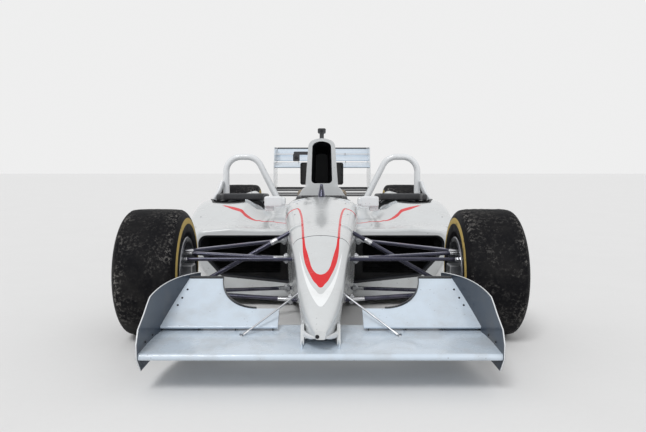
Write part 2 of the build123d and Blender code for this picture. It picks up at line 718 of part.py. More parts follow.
with BuildPart() as tail_hollow:
    tail_rows = [inset_pod(row, POD_WALL) for row in TAIL_SECTIONS]
    tail_rows[0] = (TUB_REAR + POD_WALL,) + tail_rows[0][1:]
    loft([pod_section(*row) for row in tail_rows])
    mirror(about=Plane.YZ)

with BuildPart() as engine_cover:
    add(cover_form.part)
    deck_rows = [inset_body(row, POD_WALL) for row in DECK_SECTIONS[1:]]
    deck_rows[0] = (TUB_REAR,) + deck_rows[0][1:]
    loft([body_section(*row) for row in deck_rows], mode=Mode.SUBTRACT)
    add(tail_hollow.part, mode=Mode.SUBTRACT)
    tower_rows = [inset_body(row, POD_WALL) for row in TOWER_SECTIONS[1:]]
    tower_rows = [row[:3] + (row[3] - 3 * POD_WALL,) + row[4:] for row in tower_rows]
    loft([body_section(*row) for row in tower_rows], mode=Mode.SUBTRACT)
    loft([body_section(*row) for row in DUCT_SECTIONS], mode=Mode.SUBTRACT)
    with BuildSketch(Plane.XY.offset(GROUND_CLEARANCE)):
        with Locations((0, y_at(REAR_AXLE - 400))):
            Rectangle(OVERALL_WIDTH, 2 * WHEELBASE)
    extrude(amount=FLOOR_THICKNESS + 2 * POD_WALL, mode=Mode.SUBTRACT)
    add(tub_form.part, mode=Mode.SUBTRACT)
    add(pod_forms.part, mode=Mode.SUBTRACT)
save(engine_cover.part, "engine_cover")

# Shoulder ducts: a tall open scoop on each side of the airbox tower
with BuildPart() as shoulder_ducts:
    with BuildSketch(cross_plane(DUCT_STATION)):
        with Locations((DUCT_X, DUCT_HEIGHT)):
            RectangleRounded(DUCT_WIDTH, DUCT_DEPTH, DUCT_CORNER)
    extrude(amount=-DUCT_LENGTH)
    with BuildSketch(cross_plane(DUCT_STATION)):
        with Locations((DUCT_X, DUCT_HEIGHT)):
            RectangleRounded(DUCT_WIDTH - 2 * DUCT_WALL, DUCT_DEPTH - 2 * DUCT_WALL, DUCT_CORNER - DUCT_WALL)
    extrude(amount=-(DUCT_LENGTH - DUCT_WALL), mode=Mode.SUBTRACT)
    mirror(about=Plane.YZ)
    add(cover_form.part, mode=Mode.SUBTRACT)
save(shoulder_ducts.part, "shoulder_ducts")

# Engine block: one plain mass bolted to the tub's rear bulkhead
with BuildPart() as engine_block:
    with BuildSketch(cross_plane(TUB_REAR)):
        with BuildLine():
            Polyline(
                (-ENGINE_HALF_WIDTH * 0.6, FLOOR_TOP),
                (ENGINE_HALF_WIDTH * 0.6, FLOOR_TOP),
                (ENGINE_HALF_WIDTH, ENGINE_TOP - 100),
                (ENGINE_HALF_WIDTH * 0.7, ENGINE_TOP),
                (-ENGINE_HALF_WIDTH * 0.7, ENGINE_TOP),
                (-ENGINE_HALF_WIDTH, ENGINE_TOP - 100),
                close=True,
            )
        make_face()
    extrude(amount=-ENGINE_LENGTH)
save(engine_block.part, "engine_block")

# Gearbox with its tail, the starter socket and the rear jacking pad
with BuildPart() as gearbox:
    loft([
        body_section(GEARBOX_STATION, 120, 110, 90, 430, 16, 20, 40),
        body_section(REAR_AXLE, GEARBOX_HALF_WIDTH - 12, GEARBOX_HALF_WIDTH, 190, 420, 16, 20, 40),
        body_section(GEARBOX_END, 60, 62, 260, 400, 10, 16, 24),
    ], ruled=True)
    with BuildSketch(cross_plane(GEARBOX_END)):
        with Locations((0, 345)):
            RectangleRounded(90, 86, 14)
    extrude(amount=-TAIL_LENGTH, taper=3)
    # output flanges for the driveshafts
    with BuildSketch(wheel_plane(-GEARBOX_HALF_WIDTH - 15, y_at(REAR_AXLE), REAR_AXLE_Z)):
        Circle(52)
    extrude(amount=2 * (GEARBOX_HALF_WIDTH + 15))
    with BuildSketch(cross_plane(GEARBOX_END + TAIL_LENGTH)):
        with Locations((0, 345)):
            Circle(12.5)
    extrude(amount=50, mode=Mode.SUBTRACT)
save(gearbox.part, "gearbox")

# Floor: one panel that follows the pods, narrow ahead of them and between the rear tyres
with BuildPart() as floor:
    with BuildSketch(Plane.XY.offset(GROUND_CLEARANCE)):
        with BuildLine():
            Polyline(
                (0, y_at(380)),
                (120, y_at(380)),
                (190, y_at(600)),
                (POD_SECTIONS[0][2] + FLOOR_LIP, y_at(POD_SECTIONS[0][0])),
                (POD_SECTIONS[1][2] + FLOOR_LIP, y_at(POD_SECTIONS[1][0])),
                (POD_SECTIONS[3][2] + FLOOR_LIP, y_at(POD_SECTIONS[2][0])),
                (POD_SECTIONS[3][2] + FLOOR_LIP, y_at(POD_SECTIONS[3][0])),
                (TAIL_SECTIONS[1][2] + FLOOR_LIP, y_at(TAIL_SECTIONS[1][0])),
                (TAIL_SECTIONS[2][2] + FLOOR_LIP, y_at(TAIL_SECTIONS[2][0])),
                (DIFFUSER_HALF_WIDTH, y_at(REAR_AXLE - 200)),
                (0, y_at(REAR_AXLE - 200)),
                close=True,
            )
        make_face()
    extrude(amount=FLOOR_THICKNESS)
    mirror(about=Plane.YZ)
save(floor.part, "floor")

# Diffuser: a panel that sweeps up behind the floor, over four upright strakes
with BuildPart() as diffuser:
    start, end = y_at(REAR_AXLE - 200), y_at(REAR_AXLE + 350)
    middle_height = GROUND_CLEARANCE + 0.32 * (DIFFUSER_HEIGHT - GROUND_CLEARANCE)
    with BuildSketch(side_plane(-DIFFUSER_HALF_WIDTH)):
        with BuildLine():
            ThreePointArc(
                (start, GROUND_CLEARANCE),
                ((start + end) / 2, middle_height),
                (end, DIFFUSER_HEIGHT),
            )
            Line((end, DIFFUSER_HEIGHT), (end, DIFFUSER_HEIGHT + DIFFUSER_THICKNESS))
            ThreePointArc(
                (end, DIFFUSER_HEIGHT + DIFFUSER_THICKNESS),
                ((start + end) / 2, middle_height + DIFFUSER_THICKNESS),
                (start, GROUND_CLEARANCE + DIFFUSER_THICKNESS),
            )
            Line((start, GROUND_CLEARANCE + DIFFUSER_THICKNESS), (start, GROUND_CLEARANCE))
        make_face()
    extrude(amount=2 * DIFFUSER_HALF_WIDTH)
    for x in (-DIFFUSER_HALF_WIDTH, -170, 170 - 6, DIFFUSER_HALF_WIDTH - 6):
        with BuildSketch(side_plane(x)):
            with BuildLine():
                ThreePointArc(
                    (start, GROUND_CLEARANCE),
                    ((start + end) / 2, middle_height),
                    (end, DIFFUSER_HEIGHT),
                )
                Polyline((end, DIFFUSER_HEIGHT), (end, GROUND_CLEARANCE + 30), (start, GROUND_CLEARANCE))
            make_face()
        extrude(amount=6)
save(diffuser.part, "diffuser")


def wing_element(half_span, front, rear, front_height, rear_height, thickness, bulge):
    """A wing element from side to side: a blunt front, a bowed back and a thin trailing edge."""
    middle = (front + rear) / 2
    middle_height = (front_height + rear_height) / 2 - bulge
    with BuildPart() as element:
        with BuildSketch(side_plane(-half_span)):
            with BuildLine():
                ThreePointArc(
                    (y_at(front), front_height + thickness),
                    (y_at(middle), middle_height + thickness),
                    (y_at(rear), rear_height + 4),
                )
                Line((y_at(rear), rear_height + 4), (y_at(rear), rear_height))
                ThreePointArc(
                    (y_at(rear), rear_height), (y_at(middle), middle_height), (y_at(front), front_height)
                )
                ThreePointArc(
                    (y_at(front), front_height),
                    (y_at(front - thickness / 2), front_height + thickness / 2),
                    (y_at(front), front_height + thickness),
                )
            make_face()
        extrude(amount=2 * half_span)
    return element.part


# Rear wing: main element and two flaps between the endplates
inside_span = REAR_WING_HALF_SPAN - REAR_PLATE_THICKNESS
with BuildPart() as rear_wing:
    add(wing_element(inside_span, REAR_PLATE_STATION + 30, REAR_PLATE_STATION + 260, 826, 880, 22, 12))
    add(wing_element(inside_span, REAR_PLATE_STATION + 240, REAR_PLATE_STATION + 380, 898, 965, 14, 8))
    add(wing_element(inside_span, REAR_PLATE_STATION + 365, REAR_PLATE_STATION + 450, 978, 1028, 10, 5))
save(rear_wing.part, "rear_wing")

with BuildPart() as rear_beam_wing:
    add(wing_element(inside_span, REAR_PLATE_STATION + 70, REAR_PLATE_STATION + 220, 530, 560, 14, 8))
    add(wing_element(inside_span, REAR_PLATE_STATION + 215, REAR_PLATE_STATION + 300, 576, 604, 10, 4))
    # pylons down to the gearbox's tail
    for x in (-42, 30):
        with BuildSketch(side_plane(x)):
            with BuildLine():
                Polyline(
                    (y_at(REAR_PLATE_STATION + 60), 370),
                    (y_at(REAR_PLATE_STATION + 80), 535),
                    (y_at(REAR_PLATE_STATION + 190), 545),
                    (y_at(REAR_PLATE_STATION + 240), 370),
                    close=True,
                )
            make_face()
        extrude(amount=12)
    add(gearbox.part, mode=Mode.SUBTRACT)
save(rear_beam_wing.part, "rear_beam_wing")

with BuildPart() as rear_endplates:
    with BuildSketch(side_plane(inside_span)):
        with BuildLine():
            Polyline(
                (y_at(REAR_PLATE_STATION), 640),
                (y_at(REAR_PLATE_STATION), REAR_PLATE_TOP - 160),
                (y_at(REAR_PLATE_STATION + 60), REAR_PLATE_TOP),
                (y_at(REAR_PLATE_STATION + REAR_PLATE_LENGTH), REAR_PLATE_TOP),
                (y_at(REAR_PLATE_STATION + REAR_PLATE_LENGTH), 700),
                (y_at(REAR_PLATE_STATION + 340), REAR_PLATE_BOTTOM),
                (y_at(REAR_PLATE_STATION + 50), REAR_PLATE_BOTTOM),
                close=True,
            )
        face = make_face()
        fillet(face.vertices(), 18)
    extrude(amount=REAR_PLATE_THICKNESS)
    mirror(about=Plane.YZ)
save(rear_endplates.part, "rear_endplates")

# Roll hoops: one bent tube over each passenger
hoop_mid = HOOP_TOP - HOOP_TUBE_RADIUS
with BuildPart() as roll_hoops:
    with BuildLine(cross_plane(HOOP_STATION)) as hoop_path:
        FilletPolyline(
            (HOOP_OUTER_X - HOOP_TUBE_RADIUS, 480),
            (HOOP_OUTER_X - HOOP_TUBE_RADIUS, hoop_mid),
            (HOOP_INNER_X + 230, hoop_mid),
            (HOOP_INNER_X, 470),
            radius=HOOP_BEND,
        )
    with BuildSketch(Plane(origin=hoop_path.line @ 0, z_dir=hoop_path.line % 0)):
        Circle(HOOP_TUBE_RADIUS)
    sweep(path=hoop_path.line)
    mirror(about=Plane.YZ)
    add(pod_forms.part, mode=Mode.SUBTRACT)
    add(cover_form.part, mode=Mode.SUBTRACT)
    add(tub_form.part, mode=Mode.SUBTRACT)
save(roll_hoops.part, "roll_hoops")

# Mirrors: a pod on a thin stalk each side of the cockpit
with BuildPart() as mirrors:
    with BuildSketch(cross_plane(1040)):
        with Locations((306, 622)):
            RectangleRounded(118, 56, 16)
    extrude(amount=-56)
    fillet(mirrors.edges().group_by(Axis.Y)[0], 14)
    add(arm((262, y_at(1066), 616), (196, y_at(1066), 540), 30, 8))
    add(tub_form.part, mode=Mode.SUBTRACT)
    mirror(about=Plane.YZ)
save(mirrors.part, "mirrors")

# Seats
with BuildPart() as driver_seat:
    seat_floor = FLOOR_TOP + TUB_WALL + 2
    with BuildSketch(side_plane(-165)):
        with BuildLine():
            Polyline(
                (y_at(1180), seat_floor), (y_at(1560), seat_floor), (y_at(1780), 510),
                (y_at(1720), 520), (y_at(1520), 170), (y_at(1200), 140), close=True,
            )
        seat_face = make_face()
        fillet(seat_face.vertices().group_by(Axis.Y)[1:], 20)
    extrude(amount=330)
save(driver_seat.part, "driver_seat")

with BuildPart() as passenger_seats:
    with BuildSketch(side_plane(PASSENGER_X - 145)):
        with BuildLine():
            seat_floor = FLOOR_TOP + POD_WALL
            Polyline(
                (y_at(1280), seat_floor), (y_at(1660), seat_floor), (y_at(1880), 530),
                (y_at(1820), 540), (y_at(1620), 170), (y_at(1300), 140), close=True,
            )
        seat_face = make_face()
        fillet(seat_face.vertices().group_by(Axis.Y)[1:], 20)
    extrude(amount=290)
    mirror(about=Plane.YZ)
save(passenger_seats.part, "passenger_seats")


# Head collars: foam pads inside the rear of each cockpit opening
with BuildPart() as head_surrounds:
    add(collar(*CABIN_OPENING, CABIN_COLLAR_TOP))
    mirror(about=Plane.YZ)
    add(collar(*COCKPIT_OPENING, COCKPIT_COLLAR_TOP))
save(head_surrounds.part, "head_surrounds")

# Cowl fin, camera mounts and rain light
with BuildPart() as cowl_fin:
    with BuildSketch(side_plane(-6)):
        with BuildLine():
            Polyline((y_at(970), 600), (y_at(990), 730), (y_at(1030), 730), (y_at(1050), 600), close=True)
        make_face()
    extrude(amount=12)
    add(tub_form.part, mode=Mode.SUBTRACT)
save(cowl_fin.part, "cowl_fin")

with BuildPart() as camera_mounts:
    with BuildSketch(cross_plane(AIRBOX_STATION + 60)):
        with Locations((0, 1100)):
            RectangleRounded(34, 60, 6)
    extrude(amount=-90)
    with BuildSketch(cross_plane(AIRBOX_STATION + 50)):
        with Locations((0, 1138)):
            RectangleRounded(64, 40, 10)
    extrude(amount=-120)
    with BuildSketch(cross_plane(AIRBOX_STATION + 60)):
        with Locations((-150, 960)):
            RectangleRounded(150, 26, 8)
        with Locations((-205, 925)):
            RectangleRounded(52, 60, 10)
    extrude(amount=-80)
    add(cover_form.part, mode=Mode.SUBTRACT)
save(camera_mounts.part, "camera_mounts")

with BuildPart() as rain_light:
    with BuildSketch(cross_plane(GEARBOX_END + TAIL_LENGTH)):
        with Locations((0, 345 + 55)):
            RectangleRounded(70, 40, 6)
    extrude(amount=60)
    add(gearbox.part, mode=Mode.SUBTRACT)
save(rain_light.part, "rain_light")

# Exhausts: two short outward pipes on the deck
with BuildPart() as exhausts:
    for side in (-1, 1):
        start, end = Vector(side * 150, y_at(EXHAUST_START), 520), Vector(side * 200, y_at(EXHAUST_END), 580)
        with BuildSketch(Plane(origin=start, z_dir=end - start)):
            Circle(38)
        extrude(amount=(end - start).length)
        with BuildSketch(Plane(origin=start + (end - start) * 0.3, z_dir=end - start)):
            Circle(34)
        extrude(amount=(end - start).length, mode=Mode.SUBTRACT)
    add(cover_form.part, mode=Mode.SUBTRACT)
save(exhausts.part, "exhausts")

# Front wishbones: an upper and a lower pair each side, with their ball joint housings
front_y = y_at(0)
with BuildPart() as front_wishbones:
    add(arm((KINGPIN_X, front_y, UPPER_JOINT_HEIGHT), (120, y_at(-10), 392)))
    add(arm((KINGPIN_X, front_y, UPPER_JOINT_HEIGHT), (190, y_at(375), 445)))
    add(arm((KINGPIN_X, front_y, LOWER_JOINT_HEIGHT), (90, y_at(-10), 176)))
    add(arm((KINGPIN_X, front_y, LOWER_JOINT_HEIGHT), (160, y_at(385), 160)))
    for height in (UPPER_JOINT_HEIGHT, LOWER_JOINT_HEIGHT):
        with BuildSketch(Plane.XY.offset(height - BALL_JOINT_HEIGHT / 2)):
            with Locations((KINGPIN_X, front_y)):
                Circle(BALL_JOINT_RADIUS + 4)
        extrude(amount=BALL_JOINT_HEIGHT)
        with BuildSketch(Plane.XY.offset(height - BALL_JOINT_HEIGHT)):
            with Locations((KINGPIN_X, front_y)):
                Circle(BALL_PIN_RADIUS + RUNNING_PLAY)
        extrude(amount=2 * BALL_JOINT_HEIGHT, mode=Mode.SUBTRACT)
    # boss for the pushrod on the lower pair
    with BuildSketch(Plane(origin=PUSHROD_FOOT, z_dir=PUSHROD_LINE)):
        Circle(PUSHROD_RADIUS + 3)
    extrude(amount=PUSHROD_BOSS)
    mirror(about=Plane.YZ)
    add(tub_form.part, mode=Mode.SUBTRACT)
save(front_wishbones.part, "front_wishbones")

with BuildPart() as front_pushrods:
    add(rod(PUSHROD_FOOT + PUSHROD_LINE * PUSHROD_BOSS, PUSHROD_HEAD, PUSHROD_RADIUS))
    mirror(about=Plane.YZ)
save(front_pushrods.part, "front_pushrods")

# Front uprights: carrier, spindle, ball joint pins, steering arm, brake calliper and cooling duct
carrier_in, carrier_out = KINGPIN_X - UPRIGHT_THICKNESS / 2, KINGPIN_X + UPRIGHT_THICKNESS / 2
hub_in = carrier_out + MOVING_GAP
front_outer = OVERALL_WIDTH / 2
disc_in = hub_in + 14
low_end = LOWER_JOINT_HEIGHT + BALL_JOINT_HEIGHT / 2 + 1
high_end = UPPER_JOINT_HEIGHT - BALL_JOINT_HEIGHT / 2 - 1
with BuildPart() as front_upright_left:
    with BuildSketch(wheel_plane(carrier_in, front_y, FRONT_AXLE_Z)):
        with BuildLine():
            Polyline(
                (-24, low_end - FRONT_AXLE_Z), (24, low_end - FRONT_AXLE_Z), (54, 0),
                (26, high_end - FRONT_AXLE_Z), (-26, high_end - FRONT_AXLE_Z), (-54, 0), close=True,
            )
        make_face()
    extrude(amount=UPRIGHT_THICKNESS)
    with BuildSketch(wheel_plane(carrier_out, front_y, FRONT_AXLE_Z)):
        Circle(SPINDLE_RADIUS)
    extrude(amount=120)
    with BuildSketch(Plane.XY.offset(LOWER_JOINT_HEIGHT - BALL_JOINT_HEIGHT / 2 - 4)):
        with Locations((KINGPIN_X, front_y)):
            Circle(BALL_PIN_RADIUS)
    extrude(amount=UPPER_JOINT_HEIGHT - LOWER_JOINT_HEIGHT + BALL_JOINT_HEIGHT + 8)
    # steering arm and its pin, ahead of the axle
    with BuildSketch(Plane.XY.offset(TRACK_ROD_HEIGHT - 27)):
        with Locations((KINGPIN_X, y_at(-STEERING_ARM / 2))):
            SlotCenterToCenter(STEERING_ARM, 26, rotation=90)
    extrude(amount=12)
    with BuildSketch(Plane.XY.offset(TRACK_ROD_HEIGHT - 20)):
        with Locations((KINGPIN_X, y_at(-STEERING_ARM))):
            Circle(TRACK_PIN_RADIUS)
    extrude(amount=34)
    # calliper round the rear of the disc
    with BuildSketch(Plane(origin=(0, front_y, FRONT_AXLE_Z), x_dir=(1, 0, 0), z_dir=(0, 0, 1))):
        with BuildLine():
            slot = MOVING_GAP
            Polyline(
                (carrier_out - 14, 30), (carrier_out, 30), (carrier_out, 92), (disc_in - slot, 92),
                (disc_in - slot, BRAKE_DISC_RADIUS + slot),
                (disc_in + BRAKE_DISC_THICKNESS + slot, BRAKE_DISC_RADIUS + slot),
                (disc_in + BRAKE_DISC_THICKNESS + slot, 92), (disc_in + BRAKE_DISC_THICKNESS + slot + 20, 92),
                (disc_in + BRAKE_DISC_THICKNESS + slot + 20, BRAKE_DISC_RADIUS + slot + 12),
                (carrier_out - 14, BRAKE_DISC_RADIUS + slot + 12), close=True,
            )
        make_face()
    revolve(axis=Axis((0, front_y, FRONT_AXLE_Z), (1, 0, 0)), revolution_arc=24)
    # cooling duct, a forward-facing scoop inboard of the carrier
    with BuildSketch(cross_plane(-118)):
        with Locations((KINGPIN_X - 62, FRONT_AXLE_Z + 18)):
            RectangleRounded(84, 62, 8)
    extrude(amount=-90)
    with BuildSketch(cross_plane(-119)):
        with Locations((KINGPIN_X - 62, FRONT_AXLE_Z + 18)):
            RectangleRounded(76, 54, 4)
    extrude(amount=-66, mode=Mode.SUBTRACT)
save(front_upright_left.part, "front_upright_left")
save(mirror_solid(front_upright_left.part), "front_upright_right")

# Steering rack with its track rods, eyes at both ends
with BuildPart() as track_rods:
    reach = KINGPIN_X - TRACK_EYE_RADIUS + 3
    with BuildSketch(wheel_plane(-reach, y_at(-STEERING_ARM), TRACK_ROD_HEIGHT)):
        Circle(TRACK_ROD_RADIUS)
    extrude(amount=2 * reach)
    with BuildSketch(Plane.XY.offset(TRACK_ROD_HEIGHT - TRACK_ROD_RADIUS)):
        with Locations((KINGPIN_X, y_at(-STEERING_ARM)), (-KINGPIN_X, y_at(-STEERING_ARM))):
            Circle(TRACK_EYE_RADIUS)
    extrude(amount=2 * TRACK_ROD_RADIUS)
    with BuildSketch(Plane.XY.offset(TRACK_ROD_HEIGHT - 2 * TRACK_ROD_RADIUS)):
        with Locations((KINGPIN_X, y_at(-STEERING_ARM)), (-KINGPIN_X, y_at(-STEERING_ARM))):
            Circle(TRACK_EYE_BORE)
    extrude(amount=4 * TRACK_ROD_RADIUS, mode=Mode.SUBTRACT)
save(track_rods.part, "track_rods")

# Steering wheel: a flattened ring with two spokes on its column
wheel_centre = Vector(0, y_at(STEERING_WHEEL_STATION), STEERING_WHEEL_HEIGHT)
column_axis = Vector(0, cos(radians(COLUMN_TILT)), sin(radians(COLUMN_TILT)))
column_plane = Plane(origin=wheel_centre, x_dir=(1, 0, 0), z_dir=column_axis)
with BuildPart() as steering_wheel:
    with BuildSketch(column_plane):
        RectangleRounded(STEERING_WHEEL_WIDTH, STEERING_WHEEL_DEPTH, 60)
        RectangleRounded(STEERING_WHEEL_WIDTH - 56, STEERING_WHEEL_DEPTH - 56, 36, mode=Mode.SUBTRACT)
        RectangleRounded(STEERING_WHEEL_WIDTH - 30, 60, 10)
    extrude(amount=26)
    fillet(steering_wheel.edges().filter_by(GeomType.LINE).group_by(Axis.Z)[-1], 4)
    with BuildSketch(column_plane):
        Circle(COLUMN_RADIUS)
    extrude(amount=-COLUMN_LENGTH)
save(steering_wheel.part, "steering_wheel")

# Front wheels
front_inner = front_outer - FRONT_TYRE_WIDTH
front_tyre = slick_tyre(front_inner, front_outer, FRONT_TYRE_DIAMETER / 2, front_y, FRONT_AXLE_Z)
front_rim = spoked_rim(front_inner, front_outer, hub_in, SPINDLE_RADIUS + RUNNING_PLAY, front_y, FRONT_AXLE_Z)
save(front_tyre, "front_tyre_left")
save(mirror_solid(front_tyre), "front_tyre_right")
save(front_rim, "front_rim_left")
save(mirror_solid(front_rim), "front_rim_right")

# Rear wheels and their driveshafts
rear_y = y_at(REAR_AXLE)
rear_inner = front_outer - REAR_TYRE_WIDTH
rear_hub_in = REAR_UPRIGHT_X + UPRIGHT_THICKNESS / 2 + MOVING_GAP
rear_tyre = slick_tyre(rear_inner, front_outer, REAR_TYRE_DIAMETER / 2, rear_y, REAR_AXLE_Z)
rear_rim = spoked_rim(rear_inner, front_outer, rear_hub_in, DRIVESHAFT_RADIUS, rear_y, REAR_AXLE_Z)
save(rear_tyre, "rear_tyre_left")
save(mirror_solid(rear_tyre), "rear_tyre_right")
save(rear_rim, "rear_rim_left")
save(mirror_solid(rear_rim), "rear_rim_right")

with BuildPart() as driveshaft_left:
    inner_end = GEARBOX_HALF_WIDTH + 15 + MOVING_GAP
    for x, radius, length in (
        (inner_end, 46, 50),
        (inner_end, DRIVESHAFT_RADIUS, front_outer - SPOKE_DEPTH - inner_end),
        (REAR_UPRIGHT_X - UPRIGHT_THICKNESS / 2 - MOVING_GAP - 46, 42, 46),
    ):
        with BuildSketch(wheel_plane(x, rear_y, REAR_AXLE_Z)):
            Circle(radius)
        extrude(amount=length)
save(driveshaft_left.part, "driveshaft_left")
save(mirror_solid(driveshaft_left.part), "driveshaft_right")

# Rear uprights and suspension
with BuildPart() as rear_uprights:
    with BuildSketch(wheel_plane(REAR_UPRIGHT_X - UPRIGHT_THICKNESS / 2, rear_y, REAR_AXLE_Z)):
        with BuildLine():
            Polyline((-30, -125), (30, -125), (62, 0), (34, 120), (-34, 120), (-62, 0), close=True)
        make_face()
        Circle(DRIVESHAFT_RADIUS + RUNNING_PLAY, mode=Mode.SUBTRACT)
    extrude(amount=UPRIGHT_THICKNESS)
    mirror(about=Plane.YZ)
save(rear_uprights.part, "rear_uprights")

# Rear wishbones, with the pushrod of each side between the lower pair and the gearbox
with BuildPart() as rear_wishbones:
    upper = (REAR_UPRIGHT_X - 8, rear_y, REAR_AXLE_Z + REAR_ARM_RISE)
    lower = Vector(REAR_UPRIGHT_X - 8, rear_y, REAR_AXLE_Z - REAR_ARM_DROP)
    lower_front = Vector(60, y_at(REAR_AXLE - 320), 190)
    add(arm(upper, (60, y_at(REAR_AXLE - 300), 380)))
    add(arm(upper, (40, y_at(REAR_AXLE + 110), 375)))
    add(arm(lower, lower_front))
    add(arm(lower, (40, y_at(REAR_AXLE + 60), 225)))
    pushrod_foot = lower + (lower_front - lower) * REAR_PUSHROD_SHARE
    add(rod(pushrod_foot, (60, y_at(REAR_AXLE - 150), 404), PUSHROD_RADIUS))
    mirror(about=Plane.YZ)
    add(gearbox.part, mode=Mode.SUBTRACT)
    add(rear_uprights.part, mode=Mode.SUBTRACT)
save(rear_wishbones.part, "rear_wishbones")
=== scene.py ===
"""Finishes and detail pieces of a three-seat open wheel racing car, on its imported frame.

All lengths are in metres. +Z is up, the nose points to -Y and +X is the car's left. A station is a
distance behind the front axle.
"""

import json
import math
from functools import partial

import bmesh
import bpy
import numpy as np
from bpy.props import FloatProperty, FloatVectorProperty, IntProperty, PointerProperty
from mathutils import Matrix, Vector
from mathutils.bvhtree import BVHTree


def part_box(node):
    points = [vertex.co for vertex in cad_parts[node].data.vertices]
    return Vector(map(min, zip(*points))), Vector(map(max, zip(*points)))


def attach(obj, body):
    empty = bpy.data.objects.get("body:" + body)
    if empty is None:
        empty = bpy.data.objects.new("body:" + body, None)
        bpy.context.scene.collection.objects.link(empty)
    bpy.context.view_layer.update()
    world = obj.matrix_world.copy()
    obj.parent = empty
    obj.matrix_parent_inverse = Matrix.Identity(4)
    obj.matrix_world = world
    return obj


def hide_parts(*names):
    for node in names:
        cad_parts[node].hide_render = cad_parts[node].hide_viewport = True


bl_info = {
    "name": "Open wheel racing car",
    "version": (1, 0, 0),
    "blender": (4, 5, 0),
    "location": "3D View > Sidebar > Racing car",
    "description": "Finishes and detail pieces of a three-seat open wheel racing car",
    "category": "Object",
}

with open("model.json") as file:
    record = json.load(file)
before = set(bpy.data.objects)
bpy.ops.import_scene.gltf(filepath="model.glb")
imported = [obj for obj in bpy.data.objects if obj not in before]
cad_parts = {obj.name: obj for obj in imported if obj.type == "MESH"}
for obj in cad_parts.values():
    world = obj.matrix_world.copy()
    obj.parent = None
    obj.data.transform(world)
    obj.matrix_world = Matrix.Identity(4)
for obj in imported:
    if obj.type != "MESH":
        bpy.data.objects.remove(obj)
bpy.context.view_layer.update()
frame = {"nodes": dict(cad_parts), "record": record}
SLOT_OF = {part["node"]: part["material_slot"] for part in frame["record"]["subparts"]}
SIDES = {"left": 1, "right": -1}
ACROSS, UP, DOWN = np.array((1.0, 0, 0)), np.array((0, 0, 1.0)), np.array((0, 0, -1.0))

# Height that rays down onto the car start from
OVERHEAD = 1.4


def middle_of(node):
    """The middle of a frame node's box."""
    low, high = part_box(node)
    return np.array((low + high) / 2)


FRONT_AXLE = middle_of("front_tyre_left")[1]
REAR_AXLE = middle_of("rear_tyre_left")[1] - FRONT_AXLE


def colour(name, text, default):
    """A colour setting."""
    return FloatVectorProperty(
        name=name, description=text, default=default, size=3, min=0, max=1, subtype="COLOR"
    )


def length(name, text, default):
    """A length setting."""
    return FloatProperty(name=name, description=text, default=default, min=0, unit="LENGTH")


class CarColours(bpy.types.PropertyGroup):
    """Colours of the car's finishes."""

    body: colour("Body", "Paint of the nose, tub, pods and engine cover", (0.61, 0.63, 0.64))
    fittings: colour("Fittings", "Paint of the hoops, mirrors and rear endplates", (0.74, 0.76, 0.78))
    # The wings' colour is white paint with a blue tint that is a painted sky reflection
    wing: colour("Wings", "Paint of the wings", (0.58, 0.665, 0.755))
    stripe: colour("Stripe", "Livery band and lines", (0.66, 0.002, 0.008))
    chevron: colour("Chevron", "Pale band ahead of the red one", (0.84, 0.86, 0.87))
    composite: colour("Composite", "Bare composite", (0.012, 0.013, 0.016))
    endplate: colour("Endplate", "Tinted endplate composite", (0.017, 0.028, 0.046))
    # The rubber colour is black rubber darkened further to near black as painted shade
    rubber: colour("Rubber", "Slick rubber", (0.0045, 0.0045, 0.0058))
    pick_up: colour("Pick-up", "Crumbs of worn rubber on the tread", (0.17, 0.163, 0.155))
    side_band: colour("Side band", "Ring on the tyre's inner wall", (0.64, 0.47, 0.15))
    seat: colour("Seat", "Seat cloth", (0.022, 0.024, 0.03))
    collar: colour("Collar", "Head collar covers", (0.03, 0.031, 0.034))
    webbing: colour("Webbing", "Harness straps", (0.03, 0.05, 0.16))
    dust: colour("Dust", "Road dust", (0.33, 0.31, 0.28))


class CarSizes(bpy.types.PropertyGroup):
    """Sizes of the car's detail pieces."""

    line: length("Line", "Half width of the thin livery lines", 0.0054)
    seam: length("Seam", "Half width of a panel seam", 0.0018)
    crumb: length("Crumb", "Height of the rubber pick-up on the tread", 0.0026)
    trim: length("Trim", "Radius of the edging round the openings", 0.0065)
    strap: length("Strap", "Width of the harness straps", 0.046)
    gurney: length("Gurney", "Height of the strip on a trailing edge", 0.014)
    fastener: length("Fastener", "Radius of a panel fastener", 0.0062)
    fins: IntProperty(name="Fins", description="Folds across each radiator", default=96, min=8)


# Shapes as grids of points


def at(x, station, height):
    """A point of the car from its station."""
    return np.array((x, FRONT_AXLE + station, height))


def run_of(*rows):
    """Points of the car from rows of x, station and height."""
    rows = np.array(rows, float)
    rows[:, 1] += FRONT_AXLE
    return rows


def plan_path(plan, height):
    """Points of the car at one height from rows of x and station."""
    plan = np.asarray(plan, float)
    return np.column_stack([plan[:, 0], plan[:, 1] + FRONT_AXLE, np.full(len(plan), height)])


def unit(vectors):
    """The vectors at length one."""
    vectors = np.asarray(vectors, float)
    return vectors / np.linalg.norm(vectors, axis=-1, keepdims=True)


def angles(count):
    """Even steps once round a circle."""
    return np.linspace(0, 2 * np.pi, count, endpoint=False)


def bent(values, power):
    """Each value to a power, with its sign kept, which squares off a circle."""
    return np.sign(values) * np.abs(values) ** (2 / power)


def bell(distance, width):
    """One at no distance, falling off as a bell curve."""
    return np.exp(-((distance / width) ** 2))


def arched(t, first, middle, last):
    """A parabola through three values, at t of 0, a half and 1."""
    return first + t * (4 * middle - 3 * first - last) + t**2 * 2 * (first + last - 2 * middle)


